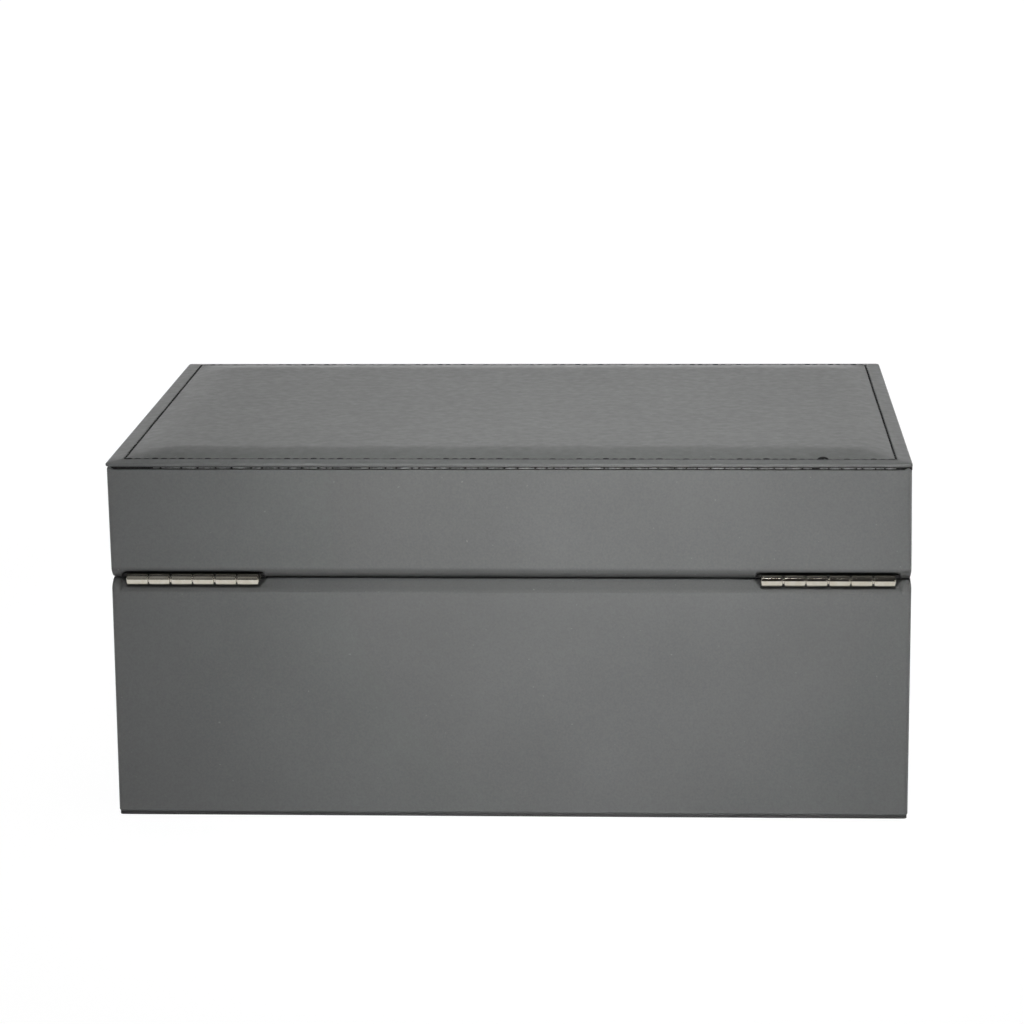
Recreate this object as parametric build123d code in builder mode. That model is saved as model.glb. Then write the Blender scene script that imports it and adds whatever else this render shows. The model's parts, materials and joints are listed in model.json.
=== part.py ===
from build123d import *
from math import cos, pi, sin, sqrt
import os

# Tiered jewelry box: a boarded case wrapped in leatherette, with two trays that lift out.
# +X runs to the right along the width, -Y is the front, +Y the hinge side and +Z is up.
# The origin is on the table, under the middle of the closed box with its hinges and lock.

os.makedirs("parts", exist_ok=True)

# Driving dimensions, in millimetres.

# Case: heights of the base and of the lid's frame, and the shut line between them.
case_width = 300.0
case_depth = 220.0
base_height = 92.2
lid_height = 42.9
rim_gap = 0.5

# Boards. A rabbet in the front and back boards takes the ends of the side boards.
wall_board = 8.0
floor_board = 4.0
top_board = 5.0
rabbet_share = 0.5

# Leatherette on its paper backing, with the edges that it rounds.
leather = 0.8
corner_radius = 1.6
rim_radius = 0.7
foot_chamfer = 0.5
turn_in = 6.0
back_bevel = 4.7
lid_back_radius = 4.5
lid_top_radius = 1.2
top_turn_over = 12.0

# Sheet under the bottom.
sheet_thickness = 1.3
sheet_inset = 0.3

# Velvet lining on card.
lining = 1.2
floor_lining = 1.5
lining_drop = 2.5

# Padded top: a card slab with a raised foam cushion inside a stitched groove.
slab_card = 1.0
slab_overhang = 0.3
slab_edge_chamfer = 0.6
slab_rim = 6.0
groove_width = 0.6
groove_depth = 0.4
crown_height = 1.6
crown_roll = 20.0
crown_steps = 5

# Mirror in the lid, held by a velvet frame with a rebate.
mirror_thickness = 2.0
frame_thickness = 4.0
frame_border = 24.0
frame_lap = 4.0
frame_round = 1.2

# Hinges: the axis lies on the back face, level with the middle of the shut line.
hinge_length = 50.0
hinge_inset = 6.0
knuckles = 6
knuckle_gap = 0.25
barrel_radius = 2.25
leaf_thickness = 0.8
leaf_reach = 8.4
neck_clearance = 0.45
neck_angle = 50.0
pin_clearance = 0.05
barrel_pocket_radius = 3.0
barrel_pocket_margin = 2.0
leaf_fit = 0.2

# Wood screws of the hinges and of the lock.
screw_head_radius = 1.7
screw_shank_radius = 0.9
screw_length = 7.0
screw_fit = 0.05
screw_back = 6.4
screw_spread_share = 0.36

# Key lock in the middle of the front.
bezel_proud = 1.5
bezel_radius = 6.0
bezel_chamfer = 0.7
sleeve_radius = 4.8
plug_radius = 3.8
plug_proud = 1.2
plug_drop = 13.5
running_fit = 0.05
key_slot_width = 1.4
key_slot_height = 5.0
key_slot_depth = 1.6
case_half_width = 12.0
lock_case_height = 19.0
lock_case_depth = 6.0
lock_wall = 0.8
flange_half_width = 18.0
flange_front = 2.0
flange_screw_x = 15.0
tongue_thickness = 2.0
tongue_depth = 3.6
tongue_length = 9.5
tongue_window_height = 3.6
tongue_bar = 0.9
tongue_fit = 0.5
keeper_half_width = 12.0
keeper_screw_x = 8.5
bolt_thickness = 1.3
bolt_travel = 4.0
bolt_bar_height = 2.6
bolt_arm = 4.0
bolt_fit = 0.3
cam_radius = 0.7
cam_fit = 0.25

# Trays and what they hold.
tray_side_gap = 0.8
seat_gap = 0.3
tray_height = 27.0
tray_wall = 3.2
tray_floor = 2.4
divider = 2.6
divider_drop = 2.0
tray_edge_round = 0.6
upper_tray_drop = 2.3
ledge_width = 3.6
floor_divider_drop = 2.5
ring_rolls = 5
roll_gap = 0.3
roll_height = 19.0
roll_end_chamfer = 1.5
pull_width = 10.0
pull_radius = 6.5
pull_thickness = 0.8
pull_drop = 9.5

# Shares of a tray's inner width or depth at which its dividers stand.
upper_long_share = 0.5
upper_front_cross_shares = (0.55, 0.775)
upper_back_cross_shares = (0.25, 0.5, 0.75)
lower_long_share = 0.42
lower_cross_shares = (1 / 3, 2 / 3)
base_long_share = 0.5
base_cross_share = 0.5
pull_place_share = 0.75

# Length by which a cutting shape runs past what it cuts.
overrun = 1.0

# Places that follow from the sizes above.
side_x = case_width / 2
mid_y = (bezel_proud - barrel_radius) / 2
front_y = mid_y - case_depth / 2
back_y = mid_y + case_depth / 2
lid_rim_z = base_height + rim_gap
hinge_z = base_height + rim_gap / 2
seat_z = lid_rim_z + lid_height
ceiling_z = seat_z - leather - top_board
slab_rim_z = seat_z + slab_card + leather
frame_z = ceiling_z - frame_thickness
floor_z = sheet_thickness + floor_board + floor_lining


def inset(half, amount):
    """Half sizes of an outline drawn in by one amount on every side."""
    return half[0] - amount, half[1] - amount


# Half sizes in X and Y of the upright walls, from the outside inwards.
case_half = (side_x, case_depth / 2)
board_half = inset(case_half, leather)
room_half = inset(board_half, wall_board)
turned_half = inset(room_half, leather)
lined_half = inset(turned_half, lining)
tray_half = inset(lined_half, tray_side_gap)
tray_room_half = inset(tray_half, tray_wall)
slab_half = inset(case_half, -slab_overhang)
crown_half = inset(slab_half, slab_rim + groove_width)


def column(half, z_low, z_high, radius=0, mode=Mode.ADD):
    """An upright block centred on the case, with rounded upright corners if a radius is given."""
    with BuildSketch(Plane.XY.offset(z_low)) as outline:
        with Locations((0, mid_y)):
            if radius > 0:
                RectangleRounded(2 * half[0], 2 * half[1], radius)
            else:
                Rectangle(2 * half[0], 2 * half[1])
    extrude(outline.sketch, amount=z_high - z_low, mode=mode)


def block(x_span, y_span, z_span, mode=Mode.ADD):
    """A straight block between the given X, Y and Z values."""
    with BuildSketch(Plane.XY.offset(z_span[0])) as outline:
        with Locations(((x_span[0] + x_span[1]) / 2, (y_span[0] + y_span[1]) / 2)):
            Rectangle(x_span[1] - x_span[0], y_span[1] - y_span[0])
    extrude(outline.sketch, amount=z_span[1] - z_span[0], mode=mode)


def bar(x_span, y, z, radius, mode=Mode.ADD):
    """A round bar along X, centred on the given Y and Z."""
    with BuildSketch(Plane.YZ.offset(x_span[0])) as outline:
        with Locations((y, z)):
            Circle(radius)
    extrude(outline.sketch, amount=x_span[1] - x_span[0], mode=mode)


def stub(x, z, radius, y_span, mode=Mode.ADD):
    """A round bar along Y, centred on the given X and Z."""
    with BuildSketch(Plane.XZ.offset(-y_span[1])) as outline:
        with Locations((x, z)):
            Circle(radius)
    extrude(outline.sketch, amount=y_span[1] - y_span[0], mode=mode)


def cut_bevel(face_y, rim_z, leg):
    """Cuts a 45 degree bevel along X off a back rim."""
    with BuildSketch(Plane.YZ.offset(-side_x - overrun)) as corner:
        with BuildLine():
            Polyline(
                (face_y - leg - overrun, rim_z + overrun),
                (face_y + overrun, rim_z - leg - overrun),
                (face_y + overrun, rim_z + overrun),
                close=True,
            )
        make_face()
    extrude(corner.sketch, amount=2 * (side_x + overrun), mode=Mode.SUBTRACT)


def cut_round(face_y, rim_z, radius):
    """Rounds the lower back edge of the lid along X."""
    with BuildSketch(Plane.YZ.offset(-side_x - overrun)) as corner:
        with Locations((face_y + (overrun - radius) / 2, rim_z + (radius - overrun) / 2)):
            Rectangle(radius + overrun, radius + overrun)
        with Locations((face_y - radius, rim_z + radius)):
            Circle(radius, mode=Mode.SUBTRACT)
    extrude(corner.sketch, amount=2 * (side_x + overrun), mode=Mode.SUBTRACT)


def crown(foot_z, foot_half):
    """The cushion's pillow: nested rectangles whose edge rises as a quarter ellipse."""
    layers = []
    for step in range(crown_steps + 1):
        angle = pi / 2 * step / crown_steps
        layer_half = inset(foot_half, crown_roll * (1 - cos(angle)))
        with BuildSketch(Plane.XY.offset(foot_z + crown_height * sin(angle))) as layer:
            with Locations((0, mid_y)):
                Rectangle(2 * layer_half[0], 2 * layer_half[1])
        layers.append(layer.sketch)
    return layers


def finish(piece, name):
    """Names a finished sub-part and writes it."""
    piece.part.label = name
    export_step(piece.part, f"parts/{name}.step")


# Hinge places shared by leather, boards, leaves and screws.
hinge_half = hinge_length / 2
hinge_centres = {
    "left": -side_x + hinge_inset + hinge_half,
    "right": side_x - hinge_inset - hinge_half,
}
screw_y = back_y - screw_back
hinge_screw_xs = [
    centre + shift * hinge_length
    for centre in hinge_centres.values()
    for shift in (-screw_spread_share, 0, screw_spread_share)
]
leaf_y_span = (back_y - leaf_reach, back_y - barrel_radius - neck_clearance)


def cut_leaf_pockets(z_span):
    """Cuts the shallow seats of both leaves, open towards the back."""
    for centre in hinge_centres.values():
        x_span = (centre - hinge_half - leaf_fit, centre + hinge_half + leaf_fit)
        block(x_span, (leaf_y_span[0] - leaf_fit, back_y + overrun), z_span, Mode.SUBTRACT)


def cut_barrel_pockets():
    """Cuts the round troughs in the lid's back rim that clear the barrels."""
    for centre in hinge_centres.values():
        reach = hinge_half + barrel_pocket_margin
        x_span = (centre - reach, centre + reach)
        bar(x_span, back_y, hinge_z, barrel_pocket_radius, Mode.SUBTRACT)


def drill(xs, y, rim_z, up):
    """Drills the screws' holes, up (1) from the lid's rim or down (-1) from the base's."""
    depth = screw_length + screw_fit
    with Locations(*[(x, y, rim_z + up * depth / 2) for x in xs]):
        Cylinder(screw_shank_radius + screw_fit, depth, mode=Mode.SUBTRACT)


def wood_screws(xs, y, head_z, up):
    """Countersunk screws with their heads at head_z, pointing up (1) or down (-1)."""
    shank_length = screw_length - leaf_thickness
    radii = (screw_head_radius, screw_shank_radius) if up > 0 else (screw_shank_radius, screw_head_radius)
    with Locations(*[(x, y, head_z + up * leaf_thickness / 2) for x in xs]):
        Cone(radii[0], radii[1], leaf_thickness)
    with Locations(*[(x, y, head_z + up * (leaf_thickness + shank_length / 2)) for x in xs]):
        Cylinder(screw_shank_radius, shank_length)


def countersink(xs, y, head_z, up):
    """Cuts countersunk holes through a plate whose screw heads lie at head_z."""
    wide = screw_head_radius + screw_fit
    narrow = screw_shank_radius + screw_fit
    radii = (wide, narrow) if up > 0 else (narrow, wide)
    with Locations(*[(x, y, head_z + up * leaf_thickness / 2) for x in xs]):
        Cone(radii[0], radii[1], leaf_thickness, mode=Mode.SUBTRACT)


# Lock places. The case is let into the inner side of the front board.
lock_inner_y = front_y + leather + wall_board
lock_case_y_span = (lock_inner_y - lock_case_depth, lock_inner_y)
lock_room_y_span = (lock_case_y_span[0] + lock_wall, lock_case_y_span[1] - lock_wall)
lock_mid_y = (lock_case_y_span[0] + lock_case_y_span[1]) / 2
plug_z = base_height - plug_drop
plug_inner_y = lock_mid_y - bolt_thickness / 2 - bolt_fit
flange_y_span = (front_y + flange_front, lock_inner_y)
flange_z = base_height - leaf_thickness
lock_case_floor_z = flange_z - lock_case_height
flange_screw_xs = (-flange_screw_x, flange_screw_x)
keeper_screw_xs = (-keeper_screw_x, keeper_screw_x)
flange_screw_y = (flange_y_span[0] + flange_y_span[1]) / 2
tongue_tip_z = lid_rim_z - tongue_length
window_z_span = (tongue_tip_z + tongue_bar, tongue_tip_z + tongue_bar + tongue_window_height)
window_mid_z = (window_z_span[0] + window_z_span[1]) / 2
cam_swing = bolt_travel / 2 * sqrt(2)


# Underside: a thin covered sheet, a little smaller than the case.
with BuildPart() as underside_sheet:
    column(inset(case_half, sheet_inset), 0, sheet_thickness, corner_radius)
finish(underside_sheet, "underside_sheet")

# Base boards. The front and back boards carry rabbets for the ends of the side boards.
rabbet = wall_board * rabbet_share
base_board_z_span = (sheet_thickness, base_height - leather)
inner_bevel = back_bevel - (2 - sqrt(2)) * leather
board_front_y = mid_y - board_half[1]
board_back_y = mid_y + board_half[1]


def cross_board(y_outer, inward, z_span):
    """A front or back board with a rabbet at each end, given its outer face and inward direction."""
    y_inner = y_outer + inward * wall_board
    block((-board_half[0], board_half[0]), sorted((y_outer, y_inner)), z_span)
    for end in (-board_half[0], board_half[0] - wall_board):
        y_step = sorted((y_inner, y_inner - inward * rabbet))
        block((end, end + wall_board), y_step, z_span, Mode.SUBTRACT)
    outer_face = faces().sort_by(Axis.Y)[0] if inward > 0 else faces().sort_by(Axis.Y)[-1]
    fillet(outer_face.edges().filter_by(Axis.Z), corner_radius - leather)


def side_board(side, z_span):
    """A left (-1) or right (1) board, whose ends reach into the rabbets."""
    x_span = sorted((side * board_half[0], side * room_half[0]))
    half_length = room_half[1] + rabbet
    block(x_span, (mid_y - half_length, mid_y + half_length), z_span)


with BuildPart() as base_front_board:
    cross_board(board_front_y, 1, base_board_z_span)
    block(
        (-case_half_width - bolt_fit, case_half_width + bolt_fit),
        (lock_case_y_span[0], lock_inner_y + overrun),
        (lock_case_floor_z - bolt_fit, base_height),
        Mode.SUBTRACT,
    )
    block(
        (-flange_half_width - leaf_fit, flange_half_width + leaf_fit),
        (flange_y_span[0] - leaf_fit, lock_inner_y + overrun),
        (flange_z, base_height),
        Mode.SUBTRACT,
    )
    stub(0, plug_z, sleeve_radius + running_fit, (front_y, lock_inner_y), Mode.SUBTRACT)
    drill(flange_screw_xs, flange_screw_y, base_height, -1)
finish(base_front_board, "base_front_board")

with BuildPart() as base_back_board:
    cross_board(board_back_y, -1, base_board_z_span)
    cut_bevel(board_back_y, base_board_z_span[1], inner_bevel)
    cut_leaf_pockets((base_height - leaf_thickness, base_height))
    drill(hinge_screw_xs, screw_y, base_height, -1)
finish(base_back_board, "base_back_board")

for side_name, side in (("left", -1), ("right", 1)):
    with BuildPart() as base_side_board:
        side_board(side, base_board_z_span)
        cut_bevel(board_back_y, base_board_z_span[1], inner_bevel)
    finish(base_side_board, f"base_{side_name}_board")

with BuildPart() as base_floor_board:
    column(room_half, sheet_thickness, sheet_thickness + floor_board)
finish(base_floor_board, "base_floor_board")

# Block that the four base boards fill with their bevel, without the room inside.
with BuildPart() as base_board_ring:
    column(board_half, *base_board_z_span, corner_radius - leather)
    cut_bevel(board_back_y, base_board_z_span[1], inner_bevel)
    column(room_half, *base_board_z_span, mode=Mode.SUBTRACT)

with BuildPart() as base_leather:
    column(case_half, sheet_thickness, base_height, corner_radius)
    chamfer(faces().sort_by(Axis.Z)[0].edges(), foot_chamfer)
    fillet(faces().sort_by(Axis.Z)[-1].edges(), rim_radius)
    cut_bevel(back_y, base_height, back_bevel)
    add(base_board_ring.part, mode=Mode.SUBTRACT)
    column(room_half, sheet_thickness, base_height - turn_in, mode=Mode.SUBTRACT)
    column(turned_half, sheet_thickness, base_height, mode=Mode.SUBTRACT)
    cut_leaf_pockets((base_height - leaf_thickness, base_height + overrun))
    block(
        (-flange_half_width - leaf_fit, flange_half_width + leaf_fit),
        (flange_y_span[0] - leaf_fit, lock_inner_y),
        (flange_z, base_height + overrun),
        Mode.SUBTRACT,
    )
    stub(0, plug_z, sleeve_radius + running_fit, (front_y - overrun, lock_mid_y), Mode.SUBTRACT)
finish(base_leather, "base_leather")

# Lining of the base: four walls in one ring, and a floor pad inside it.
with BuildPart() as base_wall_lining:
    column(turned_half, floor_z, base_height - lining_drop)
    column(lined_half, floor_z, base_height - lining_drop, mode=Mode.SUBTRACT)
finish(base_wall_lining, "base_wall_lining")

with BuildPart() as base_floor_lining:
    column(room_half, sheet_thickness + floor_board, floor_z)
finish(base_floor_lining, "base_floor_lining")

# Trays: the upper one ends a little below the base's rim and stands on the lower one's walls.
upper_tray_z = base_height - upper_tray_drop - tray_height
lower_tray_z = upper_tray_z - seat_gap - tray_height

# Ledges along the sides that carry the lower tray.
ledge_z = lower_tray_z - seat_gap
for side_name, side in (("left", -1), ("right", 1)):
    with BuildPart() as tray_ledge:
        ledge_x_span = sorted((side * lined_half[0], side * (lined_half[0] - ledge_width)))
        block(ledge_x_span, (mid_y - lined_half[1], mid_y + lined_half[1]), (floor_z, ledge_z))
    finish(tray_ledge, f"{side_name}_tray_ledge")


def share_x(half, share):
    """X at a share of an inner width, counted from the left."""
    return -half[0] + 2 * half[0] * share


def share_y(half, share):
    """Y at a share of an inner depth, counted from the front."""
    return mid_y - half[1] + 2 * half[1] * share


def long_divider(half, y, z_low, z_high, notch_xs=()):
    """A divider along X with notches from the top, as deep as half its height, for cross-laps."""
    block((-half[0], half[0]), (y - divider / 2, y + divider / 2), (z_low, z_high))
    for x in notch_xs:
        x_span = (x - divider / 2, x + divider / 2)
        y_span = (y - divider, y + divider)
        block(x_span, y_span, ((z_low + z_high) / 2, z_high + overrun), Mode.SUBTRACT)


def lapped_divider(half, x, z_low, z_high, lap_y):
    """A divider along Y with a notch from below that straddles the long divider."""
    block((x - divider / 2, x + divider / 2), (mid_y - half[1], mid_y + half[1]), (z_low, z_high))
    x_span = (x - divider, x + divider)
    y_span = (lap_y - divider / 2, lap_y + divider / 2)
    block(x_span, y_span, (z_low - overrun, (z_low + z_high) / 2), Mode.SUBTRACT)


# Dividers on the base's floor, lapped over each other.
base_room_half = (lined_half[0] - ledge_width, lined_half[1])
base_divider_z_span = (floor_z, ledge_z - floor_divider_drop)
base_long_y = share_y(base_room_half, base_long_share)
base_cross_x = share_x(base_room_half, base_cross_share)

with BuildPart() as base_long_divider:
    long_divider(base_room_half, base_long_y, *base_divider_z_span, notch_xs=(base_cross_x,))
finish(base_long_divider, "base_long_divider")

with BuildPart() as base_cross_divider:
    lapped_divider(base_room_half, base_cross_x, *base_divider_z_span, base_long_y)
finish(base_cross_divider, "base_cross_divider")


def tray_walls(tray_z):
    """The ring of a tray's four walls, with rounded upper edges."""
    column(tray_half, tray_z + tray_floor, tray_z + tray_height)
    column(tray_room_half, tray_z + tray_floor, tray_z + tray_height, mode=Mode.SUBTRACT)
    fillet(faces().sort_by(Axis.Z)[-1].edges(), tray_edge_round)


def ribbon_pulls(tray_z):
    """Two half rings of ribbon on the inner faces of a tray's side walls."""
    loop_z = tray_z + tray_height - pull_drop
    loop_y = share_y(tray_room_half, pull_place_share)
    for side in (-1, 1):
        wall_x = side * tray_room_half[0]
        with BuildSketch(Plane.XZ.offset(-loop_y - pull_width / 2)) as loop:
            with Locations((wall_x, loop_z)):
                Circle(pull_radius)
                Circle(pull_radius - pull_thickness, mode=Mode.SUBTRACT)
            with Locations((wall_x + side * pull_radius, loop_z)):
                Rectangle(2 * pull_radius, 2 * pull_radius, mode=Mode.SUBTRACT)
        extrude(loop.sketch, amount=pull_width)


for tray_name, tray_z in (("lower", lower_tray_z), ("upper", upper_tray_z)):
    with BuildPart() as tray_floor_panel:
        column(tray_half, tray_z, tray_z + tray_floor)
    finish(tray_floor_panel, f"{tray_name}_tray_floor")
    with BuildPart() as tray_wall_ring:
        tray_walls(tray_z)
    finish(tray_wall_ring, f"{tray_name}_tray_walls")
    with BuildPart() as tray_pulls:
        ribbon_pulls(tray_z)
    finish(tray_pulls, f"{tray_name}_tray_pulls")

# Lower tray: one long divider with cross dividers lapped over it.
lower_divider_z_span = (lower_tray_z + tray_floor, lower_tray_z + tray_height - divider_drop)
lower_long_y = share_y(tray_room_half, lower_long_share)
lower_cross_xs = [share_x(tray_room_half, share) for share in lower_cross_shares]

with BuildPart() as lower_tray_long_divider:
    long_divider(tray_room_half, lower_long_y, *lower_divider_z_span, notch_xs=lower_cross_xs)
finish(lower_tray_long_divider, "lower_tray_long_divider")

with BuildPart() as lower_tray_cross_dividers:
    for lower_cross_x in lower_cross_xs:
        lapped_divider(tray_room_half, lower_cross_x, *lower_divider_z_span, lower_long_y)
finish(lower_tray_cross_dividers, "lower_tray_cross_dividers")

# Upper tray: a row of ring rolls and two cells in front, and four cells behind.
upper_divider_z_span = (upper_tray_z + tray_floor, upper_tray_z + tray_height - divider_drop)
upper_long_y = share_y(tray_room_half, upper_long_share)

with BuildPart() as upper_tray_long_divider:
    long_divider(tray_room_half, upper_long_y, *upper_divider_z_span)
finish(upper_tray_long_divider, "upper_tray_long_divider")

front_cell_y_span = (mid_y - tray_room_half[1], upper_long_y - divider / 2)
back_cell_y_span = (upper_long_y + divider / 2, mid_y + tray_room_half[1])
with BuildPart() as upper_tray_cross_dividers:
    for cell_y_span, cross_shares in (
        (front_cell_y_span, upper_front_cross_shares),
        (back_cell_y_span, upper_back_cross_shares),
    ):
        for cross_share in cross_shares:
            cross_x = share_x(tray_room_half, cross_share)
            cross_x_span = (cross_x - divider / 2, cross_x + divider / 2)
            block(cross_x_span, cell_y_span, upper_divider_z_span)
finish(upper_tray_cross_dividers, "upper_tray_cross_dividers")

# Ring rolls: foam rolls side by side, flat below, with an arched top and chamfered ends.
roll_right_x = share_x(tray_room_half, upper_front_cross_shares[0]) - divider / 2
roll_x_span = (-tray_room_half[0] + roll_gap, roll_right_x - roll_gap)
roll_pitch = (front_cell_y_span[1] - front_cell_y_span[0]) / ring_rolls
roll_floor_z = upper_tray_z + tray_floor
roll_half_width = (roll_pitch - roll_gap) / 2
roll_shoulder_z = roll_floor_z + roll_height - roll_half_width
for roll in range(ring_rolls):
    roll_y = front_cell_y_span[0] + (roll + 1 / 2) * roll_pitch
    with BuildPart() as ring_roll:
        with BuildSketch(Plane.YZ.offset(roll_x_span[0])):
            with BuildLine():
                Polyline(
                    (roll_y - roll_half_width, roll_shoulder_z),
                    (roll_y - roll_half_width, roll_floor_z),
                    (roll_y + roll_half_width, roll_floor_z),
                    (roll_y + roll_half_width, roll_shoulder_z),
                )
                ThreePointArc(
                    (roll_y + roll_half_width, roll_shoulder_z),
                    (roll_y, roll_floor_z + roll_height),
                    (roll_y - roll_half_width, roll_shoulder_z),
                )
            make_face()
        extrude(amount=roll_x_span[1] - roll_x_span[0])
        roll_end_edges = edges().filter_by(GeomType.CIRCLE)
        chamfer(roll_end_edges, roll_end_chamfer)
    finish(ring_roll, f"ring_roll_{roll + 1}")

# Lid boards and the leather over them.
lid_board_z_span = (lid_rim_z + leather, seat_z - leather)
inner_back_radius = lid_back_radius - leather

with BuildPart() as lid_front_board:
    cross_board(board_front_y, 1, lid_board_z_span)
    block(
        (-keeper_half_width - leaf_fit, keeper_half_width + leaf_fit),
        (flange_y_span[0] - leaf_fit, lock_inner_y + overrun),
        (lid_rim_z, lid_rim_z + leaf_thickness),
        Mode.SUBTRACT,
    )
    drill(keeper_screw_xs, flange_screw_y, lid_rim_z, 1)
finish(lid_front_board, "lid_front_board")

with BuildPart() as lid_back_board:
    cross_board(board_back_y, -1, lid_board_z_span)
    cut_round(board_back_y, lid_board_z_span[0], inner_back_radius)
    cut_leaf_pockets((lid_rim_z, lid_rim_z + leaf_thickness))
    cut_barrel_pockets()
    drill(hinge_screw_xs, screw_y, lid_rim_z, 1)
finish(lid_back_board, "lid_back_board")

for side_name, side in (("left", -1), ("right", 1)):
    with BuildPart() as lid_side_board:
        side_board(side, lid_board_z_span)
    finish(lid_side_board, f"lid_{side_name}_board")

with BuildPart() as lid_top_board:
    column(room_half, ceiling_z, seat_z - leather)
finish(lid_top_board, "lid_top_board")

with BuildPart() as lid_board_ring:
    column(board_half, *lid_board_z_span, corner_radius - leather)
    cut_round(board_back_y, lid_board_z_span[0], inner_back_radius)
    column(room_half, *lid_board_z_span, mode=Mode.SUBTRACT)

with BuildPart() as lid_leather:
    column(case_half, lid_rim_z, seat_z, corner_radius)
    fillet(faces().sort_by(Axis.Z)[0].edges(), rim_radius)
    fillet(faces().sort_by(Axis.Z)[-1].edges(), lid_top_radius)
    cut_round(back_y, lid_rim_z, lid_back_radius)
    add(lid_board_ring.part, mode=Mode.SUBTRACT)
    column(room_half, lid_rim_z + turn_in, seat_z - leather, mode=Mode.SUBTRACT)
    column(turned_half, lid_rim_z, seat_z - leather, mode=Mode.SUBTRACT)
    column(inset(case_half, top_turn_over), seat_z - leather, seat_z, mode=Mode.SUBTRACT)
    cut_leaf_pockets((lid_rim_z - overrun, lid_rim_z + leaf_thickness))
    cut_barrel_pockets()
    block(
        (-keeper_half_width - leaf_fit, keeper_half_width + leaf_fit),
        (flange_y_span[0] - leaf_fit, lock_inner_y),
        (lid_rim_z - overrun, lid_rim_z + leaf_thickness),
        Mode.SUBTRACT,
    )
finish(lid_leather, "lid_leather")

# Inside of the lid: wall lining, mirror and the frame whose rebate holds it.
with BuildPart() as lid_wall_lining:
    column(turned_half, lid_rim_z + lining_drop, frame_z)
    column(lined_half, lid_rim_z + lining_drop, frame_z, mode=Mode.SUBTRACT)
finish(lid_wall_lining, "lid_wall_lining")

mirror_view_half = inset(room_half, frame_border)
rebate_half = inset(mirror_view_half, -frame_lap)
with BuildPart() as mirror_frame:
    column(room_half, frame_z, ceiling_z)
    column(mirror_view_half, frame_z, ceiling_z, mode=Mode.SUBTRACT)
    window_edges = faces().sort_by(Axis.Z)[0].inner_wires()[0].edges()
    chamfer(window_edges, frame_round)
    column(rebate_half, ceiling_z - mirror_thickness, ceiling_z, mode=Mode.SUBTRACT)
finish(mirror_frame, "mirror_frame")

with BuildPart() as mirror:
    column(inset(rebate_half, seat_gap), ceiling_z - mirror_thickness, ceiling_z)
finish(mirror, "mirror")

# Padded top: card, foam cushion and the leather over both, with its groove.
card_top_z = seat_z + slab_card
card_half = inset(slab_half, leather)
foam_half = inset(crown_half, leather)

with BuildPart() as top_card:
    column(card_half, seat_z, card_top_z)
finish(top_card, "top_card")

with BuildPart() as top_foam:
    loft(crown(card_top_z, foam_half), ruled=True)
finish(top_foam, "top_foam")

with BuildPart() as top_leather:
    column(slab_half, seat_z, slab_rim_z, corner_radius)
    chamfer(faces().sort_by(Axis.Z)[0].edges(), slab_edge_chamfer)
    chamfer(faces().sort_by(Axis.Z)[-1].edges(), slab_edge_chamfer)
    column(card_half, seat_z, card_top_z, mode=Mode.SUBTRACT)
    loft(crown(slab_rim_z, crown_half), ruled=True)
    loft(crown(card_top_z, foam_half), ruled=True, mode=Mode.SUBTRACT)
    with BuildSketch(Plane.XY.offset(slab_rim_z - groove_depth)):
        with Locations((0, mid_y)):
            Rectangle(2 * (crown_half[0] + groove_width), 2 * (crown_half[1] + groove_width))
            Rectangle(2 * crown_half[0], 2 * crown_half[1], mode=Mode.SUBTRACT)
    extrude(amount=groove_depth + overrun, mode=Mode.SUBTRACT)
finish(top_leather, "top_leather")

# Hinges. Each leaf is a flat plate whose neck rises to knuckles rolled round the pin.
knuckle_pitch = hinge_length / knuckles
bore_radius = barrel_radius - leaf_thickness
neck_y = barrel_radius + neck_clearance
tangent_y = barrel_radius * cos(neck_angle * pi / 180)
tangent_z = barrel_radius * sin(neck_angle * pi / 180)

for side_name, centre in hinge_centres.items():
    for owner, up, rim_z, first in (("base", -1, base_height, 0), ("lid", 1, lid_rim_z, 1)):
        with BuildPart() as hinge_leaf:
            plate_x_span = (centre - hinge_half, centre + hinge_half)
            block(plate_x_span, leaf_y_span, sorted((rim_z, rim_z + up * leaf_thickness)))
            for knuckle in range(first, knuckles, 2):
                knuckle_x = centre - hinge_half + knuckle * knuckle_pitch + knuckle_gap / 2
                with BuildSketch(Plane.YZ.offset(knuckle_x)):
                    with BuildLine():
                        Polyline(
                            (back_y - neck_y, rim_z),
                            (back_y - neck_y, rim_z + up * leaf_thickness),
                            (back_y - tangent_y, hinge_z + up * tangent_z),
                            (back_y, hinge_z),
                            close=True,
                        )
                    make_face()
                    with Locations((back_y, hinge_z)):
                        Circle(barrel_radius)
                        Circle(bore_radius, mode=Mode.SUBTRACT)
                extrude(amount=knuckle_pitch - knuckle_gap)
            leaf_screw_xs = [x for x in hinge_screw_xs if abs(x - centre) < hinge_half]
            countersink(leaf_screw_xs, screw_y, rim_z, up)
        finish(hinge_leaf, f"{side_name}_hinge_{owner}_leaf")
    with BuildPart() as hinge_pin:
        pin_x_span = (centre - hinge_half, centre + hinge_half)
        bar(pin_x_span, back_y, hinge_z, bore_radius - pin_clearance)
    finish(hinge_pin, f"{side_name}_hinge_pin")

with BuildPart() as hinge_base_screws:
    wood_screws(hinge_screw_xs, screw_y, base_height, -1)
finish(hinge_base_screws, "hinge_base_screws")

with BuildPart() as hinge_lid_screws:
    wood_screws(hinge_screw_xs, screw_y, lid_rim_z, 1)
finish(hinge_lid_screws, "hinge_lid_screws")

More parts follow.
